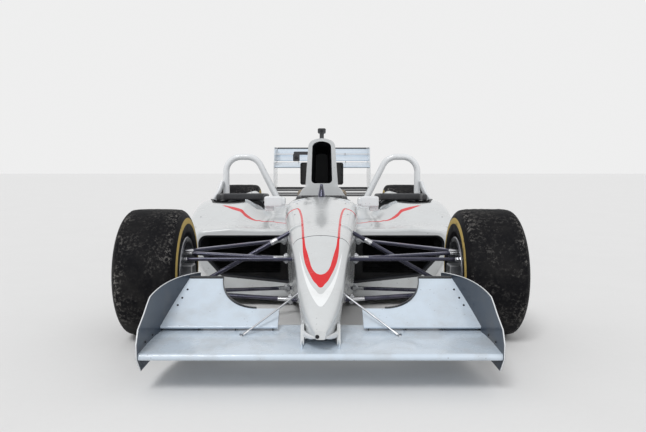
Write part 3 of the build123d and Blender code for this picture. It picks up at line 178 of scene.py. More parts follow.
def curve(rows, count):
    """A smooth path through a few points: a cubic between each pair, whose slope at a point is half
    the step between its neighbours."""
    rows = np.asarray(rows, float)
    padded = np.vstack([2 * rows[0] - rows[1], rows, 2 * rows[-1] - rows[-2]])
    share = np.linspace(0, len(rows) - 1, count)
    start = np.minimum(share.astype(int), len(rows) - 2)
    t = (share - start)[:, None]
    a, b, c, d = (padded[start + k] for k in range(4))
    square = a - 2.5 * b + 2 * c - d / 2
    cube = 1.5 * (b - c) + (d - a) / 2
    return b + t * (c - a) / 2 + t**2 * square + t**3 * cube


def distances(path):
    """The distance travelled to each point of a path."""
    return np.concatenate([[0], np.cumsum(np.linalg.norm(np.diff(path, axis=0), axis=1))])


def even(path, count, closed=False):
    """The path again with its points at even distances."""
    path = np.vstack([path, path[:1]]) if closed else np.asarray(path, float)
    travelled = distances(path)
    places = np.linspace(0, travelled[-1], count, endpoint=not closed)
    return np.stack([np.interp(places, travelled, path[:, k]) for k in range(3)], 1)


def grid_shape(grid, rows_close=False, columns_close=True):
    """Points and four-cornered faces of a surface given as rows of points."""
    rows, columns = grid.shape[:2]
    index = np.arange(rows * columns).reshape(rows, columns)
    if rows_close:
        index = np.vstack([index, index[:1]])
    if columns_close:
        index = np.hstack([index, index[:, :1]])
    faces = np.stack([index[:-1, :-1], index[1:, :-1], index[1:, 1:], index[:-1, 1:]], -1)
    return grid.reshape(-1, 3), faces.reshape(-1, 4)


def tube(path, wide, high=None, up=(0, 0, 1), sides=16, power=2.0, closed=False):
    """An oval profile carried along a path: at angle t a point lies wide * cos t across the path and
    high * sin t towards up, both squared off by power, and the ends are drawn in to poles."""
    path = np.asarray(path, float)
    run = np.roll(path, -1, 0) - np.roll(path, 1, 0) if closed else np.gradient(path, axis=0)
    run = unit(run)
    across = unit(np.cross(run, np.broadcast_to(up, run.shape)))
    rise = np.cross(across, run)
    turn = angles(sides)
    wide = np.broadcast_to(wide, len(path))[:, None, None]
    high = wide if high is None else np.broadcast_to(high, len(path))[:, None, None]
    grid = (
        path[:, None]
        + wide * bent(np.cos(turn), power)[None, :, None] * across[:, None]
        + high * bent(np.sin(turn), power)[None, :, None] * rise[:, None]
    )
    if not closed:
        ends = np.repeat(path[[0, -1], None], sides, 1)
        grid = np.concatenate([ends[:1], grid, ends[1:]])
    return grid_shape(grid, rows_close=closed)


def turned(profile, centre=(0, 0, 0), axis=(1, 0, 0), sides=96, ring=False):
    """A profile of distance along the axis and radius, turned round the axis through centre."""
    profile = np.asarray(profile, float)
    axis = unit(axis)
    side = unit(np.cross(axis, (0.31, 0.17, 0.94)))
    other = np.cross(axis, side)
    turn = angles(sides)[:, None]
    circle = np.cos(turn) * side + np.sin(turn) * other
    grid = np.asarray(centre, float) + profile[:, :1, None] * axis + profile[:, 1:, None] * circle
    return grid_shape(grid, rows_close=ring)


def block(centre, half, power=5.0, rows=13, sides=24, axes=None):
    """A rounded block: half sizes times cos u cos v, cos u sin v and sin u, each squared off by
    power, along its own axes."""
    u = np.linspace(-np.pi / 2, np.pi / 2, rows)[:, None]
    v = angles(sides)[None]
    level = bent(np.cos(u), power)
    long = half[0] * level * bent(np.cos(v), power)
    wide = half[1] * level * bent(np.sin(v), power)
    grid = np.stack([long, wide, half[2] * bent(np.sin(u), power) + 0 * v], -1)
    if axes is not None:
        grid = grid @ unit(axes)
    return grid_shape(grid + np.asarray(centre, float))


def slab(loop, normal, thickness, bevel=0.001):
    """A flat plate with bevelled edges: its outline on both faces, drawn in by the bevel, and a pole
    at the middle of each face."""
    loop = np.asarray(loop, float)
    normal = unit(normal)
    centre = loop.mean(0)
    outward = loop - centre
    drawn_in = centre + outward - bevel * unit(outward)
    half = normal * thickness / 2
    edge = half - normal * min(bevel, thickness * 0.4)
    low = [np.broadcast_to(centre - half, loop.shape), drawn_in - half, loop - edge]
    high = [loop + edge, drawn_in + half, np.broadcast_to(centre + half, loop.shape)]
    return grid_shape(np.stack(low + high))


def shell(grid, offset):
    """A thin closed sheet: the grid and a copy moved by offset, which fades out at the first and last
    columns, joined at their first and last rows."""
    fade = np.ones(grid.shape[1])
    fade[[0, -1]] = 0
    back = (grid + np.array(offset) * fade[None, :, None])[::-1]
    return grid_shape(np.concatenate([grid, back]), True, False)


def stud(radius, height, sides=12, sunk=0.002):
    """A domed head on its own Z, sunk a little into what carries it."""
    foot = [(-sunk, 0), (-sunk, radius)]
    dome = [(0.35 * height, radius), (0.8 * height, 0.8 * radius), (height, 0.4 * radius), (height, 0)]
    return turned(foot + dome, axis=(0, 0, 1), sides=sides)


def repeated(placed, faces):
    """Copies of a shape as one, from the points of each copy and the faces of one."""
    steps = np.arange(len(placed))[:, None, None] * placed.shape[1]
    return placed.reshape(-1, 3), (faces[None] + steps).reshape(-1, 4)


def copies(shape, places, normals):
    """The same shape at each place, its own Z along that place's normal."""
    points, faces = shape
    places = np.atleast_2d(places)
    normals = unit(np.broadcast_to(normals, places.shape))
    helper = np.where(np.abs(normals[:, 2:]) < 0.9, (0.0, 0.0, 1.0), (0.0, 1.0, 0.0))
    side = unit(np.cross(helper, normals))
    axes = np.stack([side, np.cross(normals, side), normals], 1)
    return repeated(places[:, None] + np.einsum("pk,nkj->npj", points, axes), faces)


def spun(shape, centre, count, first=0.0):
    """Copies of a shape turned in even steps round the X axis through centre."""
    points, faces = shape
    turn = first + angles(count)
    c, s, zero = np.cos(turn), np.sin(turn), 0 * turn
    rows = [(zero + 1, zero, zero), (zero, c, -s), (zero, s, c)]
    rotations = np.stack([np.stack(row, -1) for row in rows], 1)
    return repeated(centre + np.einsum("nij,pj->npi", rotations, points - centre), faces)


def mirrored(shape):
    """The shape on the other side of the car, its faces turned to match."""
    points, faces = shape
    return points * (-1, 1, 1), faces[:, ::-1]


def both(*shapes):
    """The shapes and their mirror images."""
    return [*shapes, *(mirrored(shape) for shape in shapes)]


def noise_grid(rows, columns, cells, seed):
    """Smooth noise from -1 to 1 that joins up round the columns: random numbers whose fine waves are
    damped by a bell curve."""
    field = np.random.default_rng(seed).standard_normal((rows, columns))
    row_waves = np.fft.fftfreq(rows)[:, None] * rows / cells[0]
    column_waves = np.fft.fftfreq(columns)[None] * columns / cells[1]
    damped = np.fft.fft2(field) * np.exp(-(row_waves**2) - column_waves**2)
    smooth = np.real(np.fft.ifft2(damped))
    return smooth / np.abs(smooth).max()


_surfaces = {}


def touch(places, direction, *nodes):
    """Where rays from the places first meet the frame's nodes, with the surface's directions there."""
    for node in nodes:
        if node not in _surfaces:
            mesh = frame["nodes"][node].data
            points, faces = [v.co for v in mesh.vertices], [p.vertices for p in mesh.polygons]
            _surfaces[node] = BVHTree.FromPolygons(points, faces)
    ray = Vector(direction).normalized()
    hits, normals = [], []
    for place in places:
        found = [_surfaces[node].ray_cast(Vector(place), ray) for node in nodes]
        found = [f for f in found if f[0] is not None]
        if not found:
            raise RuntimeError(f"nothing under {tuple(np.round(place, 3))} on {nodes}")
        hit, normal, _, _ = min(found, key=lambda f: f[3])
        hits.append(hit)
        normals.append(normal if normal.dot(ray) < 0 else -normal)
    return np.array(hits, float), np.array(normals, float)


# Padded forms, blown up as cloth


def tidied(mesh, merge=None):
    """Merges a mesh's doubled points where asked, and turns its faces outwards."""
    work = bmesh.new()
    work.from_mesh(mesh)
    if merge:
        bmesh.ops.remove_doubles(work, verts=work.verts, dist=merge)
    bmesh.ops.recalc_face_normals(work, faces=work.faces)
    work.to_mesh(mesh)
    work.free()


def swollen(grid, sewn, cap, pressure=4.0, frames=20):
    """How far each point of a padded form moves when cloth of its shape is blown up: the sewn points
    are pinned, and no point moves further than the cap. The grid's first and last rows are poles."""
    rows, columns = grid.shape[:2]
    points = np.concatenate([grid[:1, 0], grid[1:-1].reshape(-1, 3), grid[-1:, 0]])
    index = 1 + np.arange((rows - 2) * columns).reshape(rows - 2, columns)
    beside = np.roll(index, -1, axis=1)
    quads = np.stack([index[:-1], index[1:], beside[1:], beside[:-1]], -1).reshape(-1, 4)
    last = len(points) - 1
    first_fan = np.stack([np.zeros(columns, int), index[0], beside[0]], -1)
    last_fan = np.stack([np.full(columns, last), beside[-1], index[-1]], -1)
    mesh = bpy.data.meshes.new("cloth_form")
    mesh.from_pydata(points.tolist(), [], quads.tolist() + first_fan.tolist() + last_fan.tolist())
    tidied(mesh)
    form = bpy.data.objects.new("cloth_form", mesh)
    scene = bpy.context.scene
    scene.collection.objects.link(form)
    pinned = form.vertex_groups.new(name="sewn")
    pinned.add([0, last] + (index[sewn[1:-1]]).tolist(), 1.0, "REPLACE")
    settings = form.modifiers.new("cloth", "CLOTH").settings
    settings.quality = 5
    settings.use_pressure = True
    settings.uniform_pressure_force = pressure
    settings.effector_weights.gravity = 0
    settings.vertex_group_mass = "sewn"
    for frame_number in range(1, frames + 1):
        scene.frame_set(frame_number)
    result = form.evaluated_get(bpy.context.evaluated_depsgraph_get()).to_mesh()
    moved = np.empty(len(points) * 3, np.float32)
    result.vertices.foreach_get("co", moved)
    bpy.data.objects.remove(form)
    bpy.data.meshes.remove(mesh)
    scene.frame_set(1)
    shift = moved.reshape(-1, 3) - points
    size = np.linalg.norm(shift, axis=1, keepdims=True)
    shift *= np.minimum(1, cap / np.maximum(size, 1e-9))
    field = np.zeros_like(grid)
    field[1:-1] = shift[1:-1].reshape(rows - 2, columns, 3)
    return field


def finer(field, rows, columns):
    """A field of movements on a grid spread over a finer one: between its rows, then round its
    columns."""
    old, new = np.linspace(0, 1, len(field)), np.linspace(0, 1, rows)
    steps = range(field.shape[1])
    tall = np.stack([[np.interp(new, old, field[:, c, k]) for c in steps] for k in range(3)])
    closed = np.concatenate([tall, tall[:, :1]], 1)
    old, new = np.linspace(0, 1, closed.shape[1]), np.arange(columns) / columns
    wide = np.stack([[np.interp(new, old, closed[k, :, r]) for r in range(rows)] for k in range(3)])
    return wide.transpose(1, 2, 0)


def blown(pad, coarse, fine, cap):
    """A padded form: its fine grid and detail, moved as cloth of its coarse grid is blown up."""
    plain, sewn, _ = pad(*coarse)
    grid, _, detail = pad(*fine)
    return grid + finer(swollen(plain, sewn, cap), *grid.shape[:2]) + detail


def pad_path(path, count, rounded):
    """A padded form's path at even steps, with its direction, the distance travelled, the distance to
    the nearer end and a factor that rounds the ends off."""
    path = even(path, count)
    run = unit(np.gradient(path, axis=0))
    travelled = np.linspace(0, distances(path)[-1], count)
    end = np.minimum(travelled, travelled[-1] - travelled)
    rounding = np.sqrt(1 - np.clip(1 - end / rounded, 0, 1) ** 2)
    return path, run, travelled, end, rounding


def beside_channel(travelled, channels):
    """The rows of a padded form that lie nearest to its channels."""
    nearest = np.abs(travelled[:, None] - channels[None]).min(1)
    return (nearest < travelled[-1] / len(travelled) * 0.51)[:, None]


def with_poles(path, place, sewn, detail):
    """A padded form's points, sewn points and detail, each with a row for the pole at either end."""
    sides = place.shape[1]
    ends = np.repeat(path[[0, -1], None], sides, 1)
    held, still = np.ones((1, sides), bool), np.zeros((1, sides, 3))
    place = np.concatenate([ends[:1], place, ends[1:]])
    return place, np.concatenate([held, sewn, held]), np.concatenate([still, detail, still])


# Shader nodes


class Signal:
    """A shader node's output. Calculating with it adds the Math node for that step."""

    def __init__(self, tree, socket):
        self.tree = tree
        self.socket = socket

    def __add__(self, other):
        return calc("ADD", self, other)

    def __sub__(self, other):
        return calc("SUBTRACT", self, other)

    def __rsub__(self, other):
        return calc("SUBTRACT", other, self)

    def __mul__(self, other):
        return calc("MULTIPLY", self, other)

    def __truediv__(self, other):
        return calc("DIVIDE", self, other)

    def __pow__(self, other):
        return calc("POWER", self, other)

    def __gt__(self, other):
        return calc("GREATER_THAN", self, other)

    def __lt__(self, other):
        return calc("LESS_THAN", self, other)

    def __abs__(self):
        return calc("ABSOLUTE", self)


def feed(socket, value):
    """Links a signal to an input, or sets the input's own value."""
    if isinstance(value, Signal):
        value.tree.links.new(value.socket, socket)
    elif value is not None:
        socket.default_value = value


def put(tree, kind, *inputs, **settings):
    """Adds a node with its settings, and fills its inputs in order from values or signals."""
    node = tree.nodes.new("ShaderNode" + kind)
    for key, value in settings.items():
        setattr(node, key, value)
    for socket, value in zip([s for s in node.inputs if s.enabled], inputs):
        feed(socket, value)
    node.location = (-180 * (len(tree.nodes) % 12), -260 * (len(tree.nodes) // 12))
    return node


def outs(tree, kind, *inputs, **settings):
    """The signals of a new node."""
    return [Signal(tree, socket) for socket in put(tree, kind, *inputs, **settings).outputs]


def calc(operation, *values):
    """The signal of a Math node."""
    tree = next(value.tree for value in values if isinstance(value, Signal))
    return outs(tree, "Math", *values, operation=operation)[0]


def higher(first, second):
    """The higher of two signals."""
    return calc("MAXIMUM", first, second)


def mix(share, first, second):
    """A mix of two values by a share."""
    return outs(share.tree, "Mix", share, first, second)[0]


def blend(share, first, second):
    """A mix of two colours by a share."""
    node = put(share.tree, "Mix", data_type="RGBA")
    feed(node.inputs[0], share)
    for socket, value in ((node.inputs[6], first), (node.inputs[7], second)):
        feed(socket, value if isinstance(value, Signal) else (*value, 1))
    return Signal(share.tree, node.outputs[2])


def scaled(tone, factor):
    """A colour times a factor, at most one."""
    return tuple(min(1, c * factor) for c in tone)


def raised(strength, depth, height, normal=None):
    """The normal of a Bump node."""
    node = put(height.tree, "Bump")
    named = {"Strength": strength, "Distance": depth, "Height": height, "Normal": normal}
    for name, value in named.items():
        feed(node.inputs[name], value)
    return Signal(height.tree, node.outputs[0])


def ramp(value, low, high, out_low=0.0, out_high=1.0, smooth=True):
    """Value taken from one range to another, and held at its ends."""
    kind = "SMOOTHSTEP" if smooth else "LINEAR"
    span = (value, low, high, out_low, out_high)
    return outs(value.tree, "MapRange", *span, interpolation_type=kind)[0]


def outline_of(value, rows, tall):
    """A curve through listed points: the value to a width, from rows of place and width."""
    low, high = rows[0][0], rows[-1][0]
    node = put(value.tree, "FloatCurve", 1.0, ramp(value, low, high, smooth=False))
    points = node.mapping.curves[0].points
    for _ in rows[2:]:
        points.new(0.5, 0.5)
    for point, (place, width) in zip(points, rows):
        point.location = ((place - low) / (high - low), width / tall)
    node.mapping.update()
    return Signal(value.tree, node.outputs[0]) * tall


def coordinates(tree, kind):
    """The texture coordinates of a kind."""
    return Signal(tree, put(tree, "TexCoord").outputs[kind])


def parts(vector):
    """X, Y and Z of a vector."""
    return outs(vector.tree, "SeparateXYZ", vector)


def car_place(tree):
    """X, the station and the height from Object coordinates."""
    x, y, height = parts(coordinates(tree, "Object"))
    return x, y - float(FRONT_AXLE), height


def noise(tree, scale, detail, roughness):
    """Noise on Object coordinates."""
    return outs(tree, "TexNoise", coordinates(tree, "Object"), scale, detail, roughness)[0]


# Effects that several finishes use, each one node group


def drawn_line(_, distance, half):
    """One inside the half width of a line, falling to zero over a fifth more."""
    return [1.0 - ramp(abs(distance), half, half * 1.2)]


def surface_grain(tree, scale, strength):
    """Two sizes of noise as a mask, and the bump of the finer one as a normal."""
    fine = noise(tree, scale, 3.0, 0.6)
    broad = noise(tree, scale * 0.07, 4.0, 0.55)
    return [ramp(fine * 0.4 + broad * 0.6, 0.35, 0.65), raised(strength, 0.001, fine)]


def road_dust(tree, top, amount):
    """Noise that grows towards the ground and on faces that look up."""
    low = ramp(car_place(tree)[2], top, 0.05)
    upward = ramp(parts(coordinates(tree, "Normal"))[2], 0.3, 1.0)
    spots = ramp(noise(tree, 9.0, 6.0, 0.62), 0.42, 0.68)
    return [(low * 0.75 + upward * 0.25) * spots * amount]


def twill_weave(tree, tow):
    """Two tows over, two under, laid on whichever plane the face looks out of most: a mask of the
    warp, and the round backs of the tows as a height."""
    x, y, z = parts(coordinates(tree, "Object"))
    nx, ny, nz = (abs(part) for part in parts(coordinates(tree, "Normal")))
    u = mix(nx > higher(ny, nz), x, y) / tow
    v = mix(nz > higher(nx, ny), z, y) / tow
    warp = calc("FLOORED_MODULO", calc("FLOOR", u) + calc("FLOOR", v), 4.0) < 1.5
    backs = [calc("SINE", calc("FRACT", w) * math.pi) for w in (u, v)]
    return [warp, mix(warp, *backs)]


def stone_chips(tree, scale, kept):
    """Small round specks, a few of a fine cell pattern, on faces that look forward."""
    cells = put(tree, "TexVoronoi", coordinates(tree, "Object"), scale).outputs
    few = outs(tree, "SeparateColor", Signal(tree, cells["Color"]))[0] > kept
    dot = Signal(tree, cells["Distance"]) < 0.22
    forward = ramp(parts(coordinates(tree, "Normal"))[1], -0.1, -0.7)
    return [few * dot * forward]


EFFECTS = {
    "line": ("Drawn line", {"Distance": 0, "Half width": 0.004}, ["Mask"], drawn_line),
    "grain": ("Surface grain", {"Scale": 200, "Strength": 0.1}, ["Mask", "Normal"], surface_grain),
    "dust": ("Road dust", {"Top": 0.5, "Amount": 1}, ["Mask"], road_dust),
    "weave": ("Twill weave", {"Tow width": 0.004}, ["Warp", "Height"], twill_weave),
    "chips": ("Stone chips", {"Scale": 60, "Share kept": 0.93}, ["Mask"], stone_chips),
}


def effect(tree, name, *values):
    """The signals of a shared effect, whose node group is made once, with values of its own."""
    label, inputs, outputs, fill = EFFECTS[name]
    group = bpy.data.node_groups.get(label)
    if group is None:
        group = bpy.data.node_groups.new(label, "ShaderNodeTree")
        for item, default in inputs.items():
            socket = group.interface.new_socket(item, in_out="INPUT", socket_type="NodeSocketFloat")
            socket.default_value = default
        for item in outputs:
            kind = "NodeSocketVector" if item == "Normal" else "NodeSocketFloat"
            group.interface.new_socket(item, in_out="OUTPUT", socket_type=kind)
        start = group.nodes.new("NodeGroupInput")
        results = fill(group, *(Signal(group, start.outputs[item]) for item in inputs))
        end = group.nodes.new("NodeGroupOutput")
        for socket, result in zip(end.inputs, results):
            feed(socket, result)
    return outs(tree, "Group", *values, node_tree=group)


# Masks of the bodywork


def faces_in(x, height, centre_x, centre_height):
    """One where a face looks towards a line along the car: its normal dotted with the way out from
    the line is below zero, which is so on the inner skin of a closed shell."""
    nx, _, nz = parts(coordinates(x.tree, "Normal"))
    across = nx * calc("SIGN", x) * (abs(x) - centre_x)
    return across + nz * (height - centre_height) < -0.004


def interior_mask(kind, x, station, height):
    """One on the unpainted inside of a hollow shell."""
    if kind == "tub":
        hollow = (height > 0.064) * (station > 0.02)
        beside = (station > 0.66) * (height < 0.47)
        return higher(faces_in(x, height, 0.0, 0.34) * hollow, beside)
    if kind == "pod":
        return faces_in(x, height, 0.5, 0.32) * (height > 0.064)
    wide = abs(x)
    _, ny, nz = parts(coordinates(x.tree, "Normal"))
    mouth = (wide < 0.1) * (height > 0.69)
    duct = faces_in(x, height, 0.0, 0.88) * (station < 2.106)
    back = (station > 2.0) * (ny < -0.8)
    roof = (nz < -0.35) * (height > 0.37)
    sides = faces_in(x, height, 0.42, 0.30) * (height < 0.45)
    tail = higher(roof, sides * higher(wide < 0.24, height > 0.07))
    return higher(mouth * higher(duct, back), tail)


# The livery's edges in plan, as a few drawn points: across the car and behind a start, or,
# for the nose's edge, along the car and across it

POD_START, RED_START, PALE_START = 0.93, -0.65, -0.77
POD_LINE = [
    (0.24, 0.03), (0.29, 0.06), (0.36, 0.11), (0.413, 0.07), (0.456, 0.015), (0.506, 0.03),
    (0.532, 0.058), (0.629, 0.147), (0.70, 0.215),
]
RED_FRONT = [
    (0.0, 0.025), (0.008, 0.030), (0.017, 0.050), (0.032, 0.082), (0.044, 0.123), (0.056, 0.167),
    (0.066, 0.211), (0.074, 0.254), (0.084, 0.340), (0.090, 0.445), (0.101, 0.66), (0.11, 0.75),
]
RED_BACK = [
    (0.0, 0.130), (0.010, 0.134), (0.024, 0.150), (0.042, 0.202), (0.049, 0.245), (0.063, 0.330),
    (0.074, 0.392), (0.080, 0.455), (0.094, 0.70), (0.11, 0.79),
]
PALE_FRONT = [
    (0.0, 0.018), (0.008, 0.022), (0.018, 0.040), (0.028, 0.065), (0.039, 0.098), (0.049, 0.134),
    (0.058, 0.174), (0.066, 0.214), (0.080, 0.299), (0.092, 0.387), (0.101, 0.472), (0.115, 0.60),
]
PALE_BACK = [
    (0.0, 0.101), (0.010, 0.107), (0.019, 0.126), (0.037, 0.166), (0.050, 0.207), (0.070, 0.292),
    (0.085, 0.379), (0.100, 0.471), (0.115, 0.57),
]
NOSE_EDGE = [
    (-0.24, 0.0905), (-0.15, 0.094), (0.01, 0.101), (0.26, 0.113), (0.45, 0.127), (0.58, 0.143),
    (0.64, 0.158),
]
SOFT_EDGE = 0.0024


def band_between(wide, station, front, back):
    """One between two curves across the car, with soft edges."""
    ahead, behind = (outline_of(wide, rows, 0.8) for rows in (front, back))
    return ramp(station - ahead, 0.0, SOFT_EDGE) * ramp(behind - station, 0.0, SOFT_EDGE)


def livery_mask(kind, x, station, height, line):
    """The red livery and the pale chevron as two masks, drawn in plan on the nose or on the pods."""
    tree, wide = x.tree, abs(x)
    upward = parts(coordinates(tree, "Normal"))[2]
    if kind == "pod":
        distance = station - (outline_of(wide, POD_LINE, 0.25) + POD_START)
        thick = ramp(wide, 0.43, 0.50) * ramp(wide, 0.66, 0.60)
        red = effect(tree, "line", distance, thick * 0.011 + line * 2.3)[0]
        return red * (ramp(wide, 0.70, 0.66) * ramp(upward, 0.0, 0.2)), None
    band = band_between(wide, station - RED_START, RED_FRONT, RED_BACK) * (station < -0.2)
    edge = outline_of(station, NOSE_EDGE, 0.2)
    stem = effect(tree, "line", wide - (edge - line), line)[0]
    stem = stem * ((station > -0.2005) * (station < 0.625))
    turn = ramp(wide, 0.145, 0.215) * 0.030 + 0.618
    over = effect(tree, "line", station - turn, line * 2.8)[0]
    over = over * (ramp(wide, 0.143, 0.145) * ramp(height, 0.47, 0.49))
    top = ramp(upward, -0.05, 0.05)
    pale = band_between(wide, station - PALE_START, PALE_FRONT, PALE_BACK) * (station < -0.28)
    return higher(band, higher(stem, over)) * top, pale * top


# Finishes


def new_material(name):
    """A new material and its tree."""
    material = bpy.data.materials.new(name)
    material.use_nodes = True
    return material, material.node_tree


def shaded(material, sockets):
    """The material with its shader's inputs filled by name."""
    shader = material.node_tree.nodes["Principled BSDF"].inputs
    for name, value in sockets.items():
        feed(shader[name], value)
    return material


def painted_bodywork(name, paint, colours, sizes, interior=None, livery=None, seams=()):
    """Glossy paint with a faint orange peel, panel seams, chips, dust and, where asked, the livery and
    a bare composite inside."""
    material, tree = new_material(name)
    x, station, height = car_place(tree)
    grain, peel = effect(tree, "grain", 420.0, 0.05)
    base = blend(grain * 0.5, paint, scaled(paint, 0.95))
    coat = 0.6
    if livery:
        red, pale = livery_mask(livery, x, station, height, sizes.line)
        if pale is not None:
            base = blend(pale, base, colours.chevron)
        base = blend(red, base, colours.stripe)
        coat = coat - red * 0.5
    base = blend(effect(tree, "chips", 70.0, 0.94)[0] * 0.45, base, (0.12, 0.12, 0.13))
    dust = effect(tree, "dust", 0.45, 0.35)[0]
    base = blend(dust, base, colours.dust)
    for seam in seams:
        base = blend(effect(tree, "line", station - seam, sizes.seam)[0], base, (0.03, 0.03, 0.035))
    rough = grain * 0.06 + (dust * 0.5 + 0.2)
    if interior:
        inside = interior_mask(interior, x, station, height)
        base = blend(inside, base, colours.composite)
        rough = mix(inside, rough, effect(tree, "weave", 0.005)[0] * 0.12 + 0.45)
        coat = (1.0 - inside * 0.97) * coat
    sockets = {"Base Color": base, "Roughness": rough, "Normal": peel, "Coat Weight": coat}
    return shaded(material, sockets | {"Specular IOR Level": 0.25, "Coat Roughness": 0.1})


def bare_composite(
    name, tone, colours, tow=0.004, coat=0.5, rough=0.32, contrast=2.2, tint=(1, 1, 1), relief=0.12
):
    """Woven composite under clear resin: darker and lighter tows, each with a round back."""
    material, tree = new_material(name)
    weave, backs = effect(tree, "weave", tow)
    dust = effect(tree, "dust", 0.5, 0.4)[0]
    base = blend(weave * 0.8, tone, scaled(tone, contrast))
    sockets = {
        "Base Color": blend(dust, base, scaled(colours.dust, 0.7)),
        "Roughness": weave * 0.08 + (dust * 0.5 + rough),
        "Normal": raised(relief, 0.0004, backs),
        "Coat Weight": coat,
        "Coat Roughness": 0.08,
        "Coat Tint": (*tint, 1),
        "Specular Tint": (*tint, 1),
    }
    return shaded(material, sockets)


def slick_rubber(name, side, centre, colours):
    """Scrubbed rubber: grey crumbs on the tread, a smoother wall with fine moulded rings and a band
    on the wall that looks at the car. Its colour is darkened to near black as painted shade."""
    material, tree = new_material(name)
    x, station, height = car_place(tree)
    along = (x - float(centre[0])) * float(side)
    y, z = station - float(centre[1] - FRONT_AXLE), height - float(centre[2])
    radius = calc("SQRT", y**2.0 + z**2.0)
    tread = ramp(radius, 0.300, 0.318)
    grain, pebbles = effect(tree, "grain", 260.0, 0.55)
    crumbs = ramp(noise(tree, 62.0, 6.0, 0.8), 0.51, 0.58)
    patches = ramp(noise(tree, 6.0, 5.0, 0.65), 0.44, 0.58, 0.12, 1.0)
    worn = tread * (crumbs * (patches * ramp(abs(along), 0.07, 0.14, 0.25, 1.0)))
    band = effect(tree, "line", radius - 0.264, 0.0135)[0] * (along < 0.0)
    broken = ramp(noise(tree, 24.0, 4.0, 0.55), 0.28, 0.44, 0.35, 1.0)
    # The base is black rubber darkened further as painted shade
    base = blend(worn, colours.rubber, colours.pick_up)
    base = blend(band * broken * 0.85, base, colours.side_band)
    base = blend(effect(tree, "dust", 0.66, 0.5)[0] * 0.3, base, scaled(colours.dust, 0.5))
    rings = calc("SINE", radius * (2 * math.pi / 0.0035)) * (1.0 - tread)
    sockets = {
        "Base Color": base,
        "Roughness": mix(tread, grain * 0.1 + 0.46, worn * 0.25 + 0.66),
        "Normal": raised(0.5, 0.001, rings * 0.12 + worn * 0.9, pebbles),
        "Specular IOR Level": 0.08,
    }
    return shaded(material, sockets)


def metal(name, tone, rough, scale, strength, spread=0.12, cast=False):
    """Machined or cast metal: its grain changes the roughness, and cast metal is pitted."""
    material, tree = new_material(name)
    grain, pits = effect(tree, "grain", scale, strength)
    dust = effect(tree, "dust", 0.4, 0.3)[0]
    sockets = {
        "Base Color": blend(dust, blend(grain, tone, scaled(tone, 0.82)), (0.16, 0.15, 0.14)),
        "Metallic": 0.75 if cast else 1.0,
        "Roughness": grain * spread + (dust * 0.5 + rough),
        "Normal": pits,
    }
    return shaded(material, sockets)


def cloth(name, tone, thread, sheen=0.4, rough=0.85):
    """Woven cloth: threads that cross over each other, softened by a short nap."""
    material, tree = new_material(name)
    weave, backs = effect(tree, "weave", thread)
    grain, nap = effect(tree, "grain", 900.0, 0.25)
    base = blend(weave * 0.6, tone, scaled(tone, 1.9))
    sockets = {
        "Base Color": blend(grain * 0.35, base, scaled(tone, 2.6)),
        "Roughness": grain * 0.1 + rough,
        "Normal": raised(0.5, 0.0006, backs, nap),
        "Sheen Weight": sheen,
        "Sheen Roughness": 0.5,
    }
    return shaded(material, sockets)


def moulded(name, tone, rough=0.6, scale=700.0, strength=0.35):
    """Moulded rubber or plastic with a fine pebbled skin."""
    material, tree = new_material(name)
    grain, pebbles = effect(tree, "grain", scale, strength)
    base = blend(grain, tone, scaled(tone, 1.5))
    return shaded(material, {"Base Color": base, "Roughness": grain * 0.12 + rough, "Normal": pebbles})


def clear_screen(name, tone=(0.86, 0.9, 0.93)):
    """Clear plastic with fine scratches."""
    material, tree = new_material(name)
    grain = effect(tree, "grain", 60.0, 0.02)[0]
    sockets = {"Base Color": blend(grain, tone, scaled(tone, 0.94)), "Roughness": grain * 0.12 + 0.06}
    return shaded(material, sockets | {"Transmission Weight": 0.6, "IOR": 1.3})


def heated_steel(name):
    """Steel pipe with heat colours: straw, then violet and blue towards the hot end."""
    material, tree = new_material(name)
    grain, ripple = effect(tree, "grain", 300.0, 0.04)
    heat = ramp(car_place(tree)[1], 2.62, 2.92) + grain * 0.18
    base = blend(ramp(heat, 0.0, 0.45), (0.15, 0.16, 0.23), (0.25, 0.18, 0.20))
    sockets = {
        "Base Color": blend(ramp(heat, 0.45, 1.0), base, (0.38, 0.31, 0.22)),
        "Metallic": 1.0,
        "Roughness": grain * 0.15 + 0.25,
        "Normal": ripple,
    }
    return shaded(material, sockets)


def stage_finish(name, tone):
    """Plain matt floor with a trace of mottling."""
    material, tree = new_material(name)
    grain = effect(tree, "grain", 30.0, 0.0)[0]
    return shaded(material, {"Base Color": blend(grain, tone, scaled(tone, 0.985)), "Roughness": 0.9})


_finishes = {}


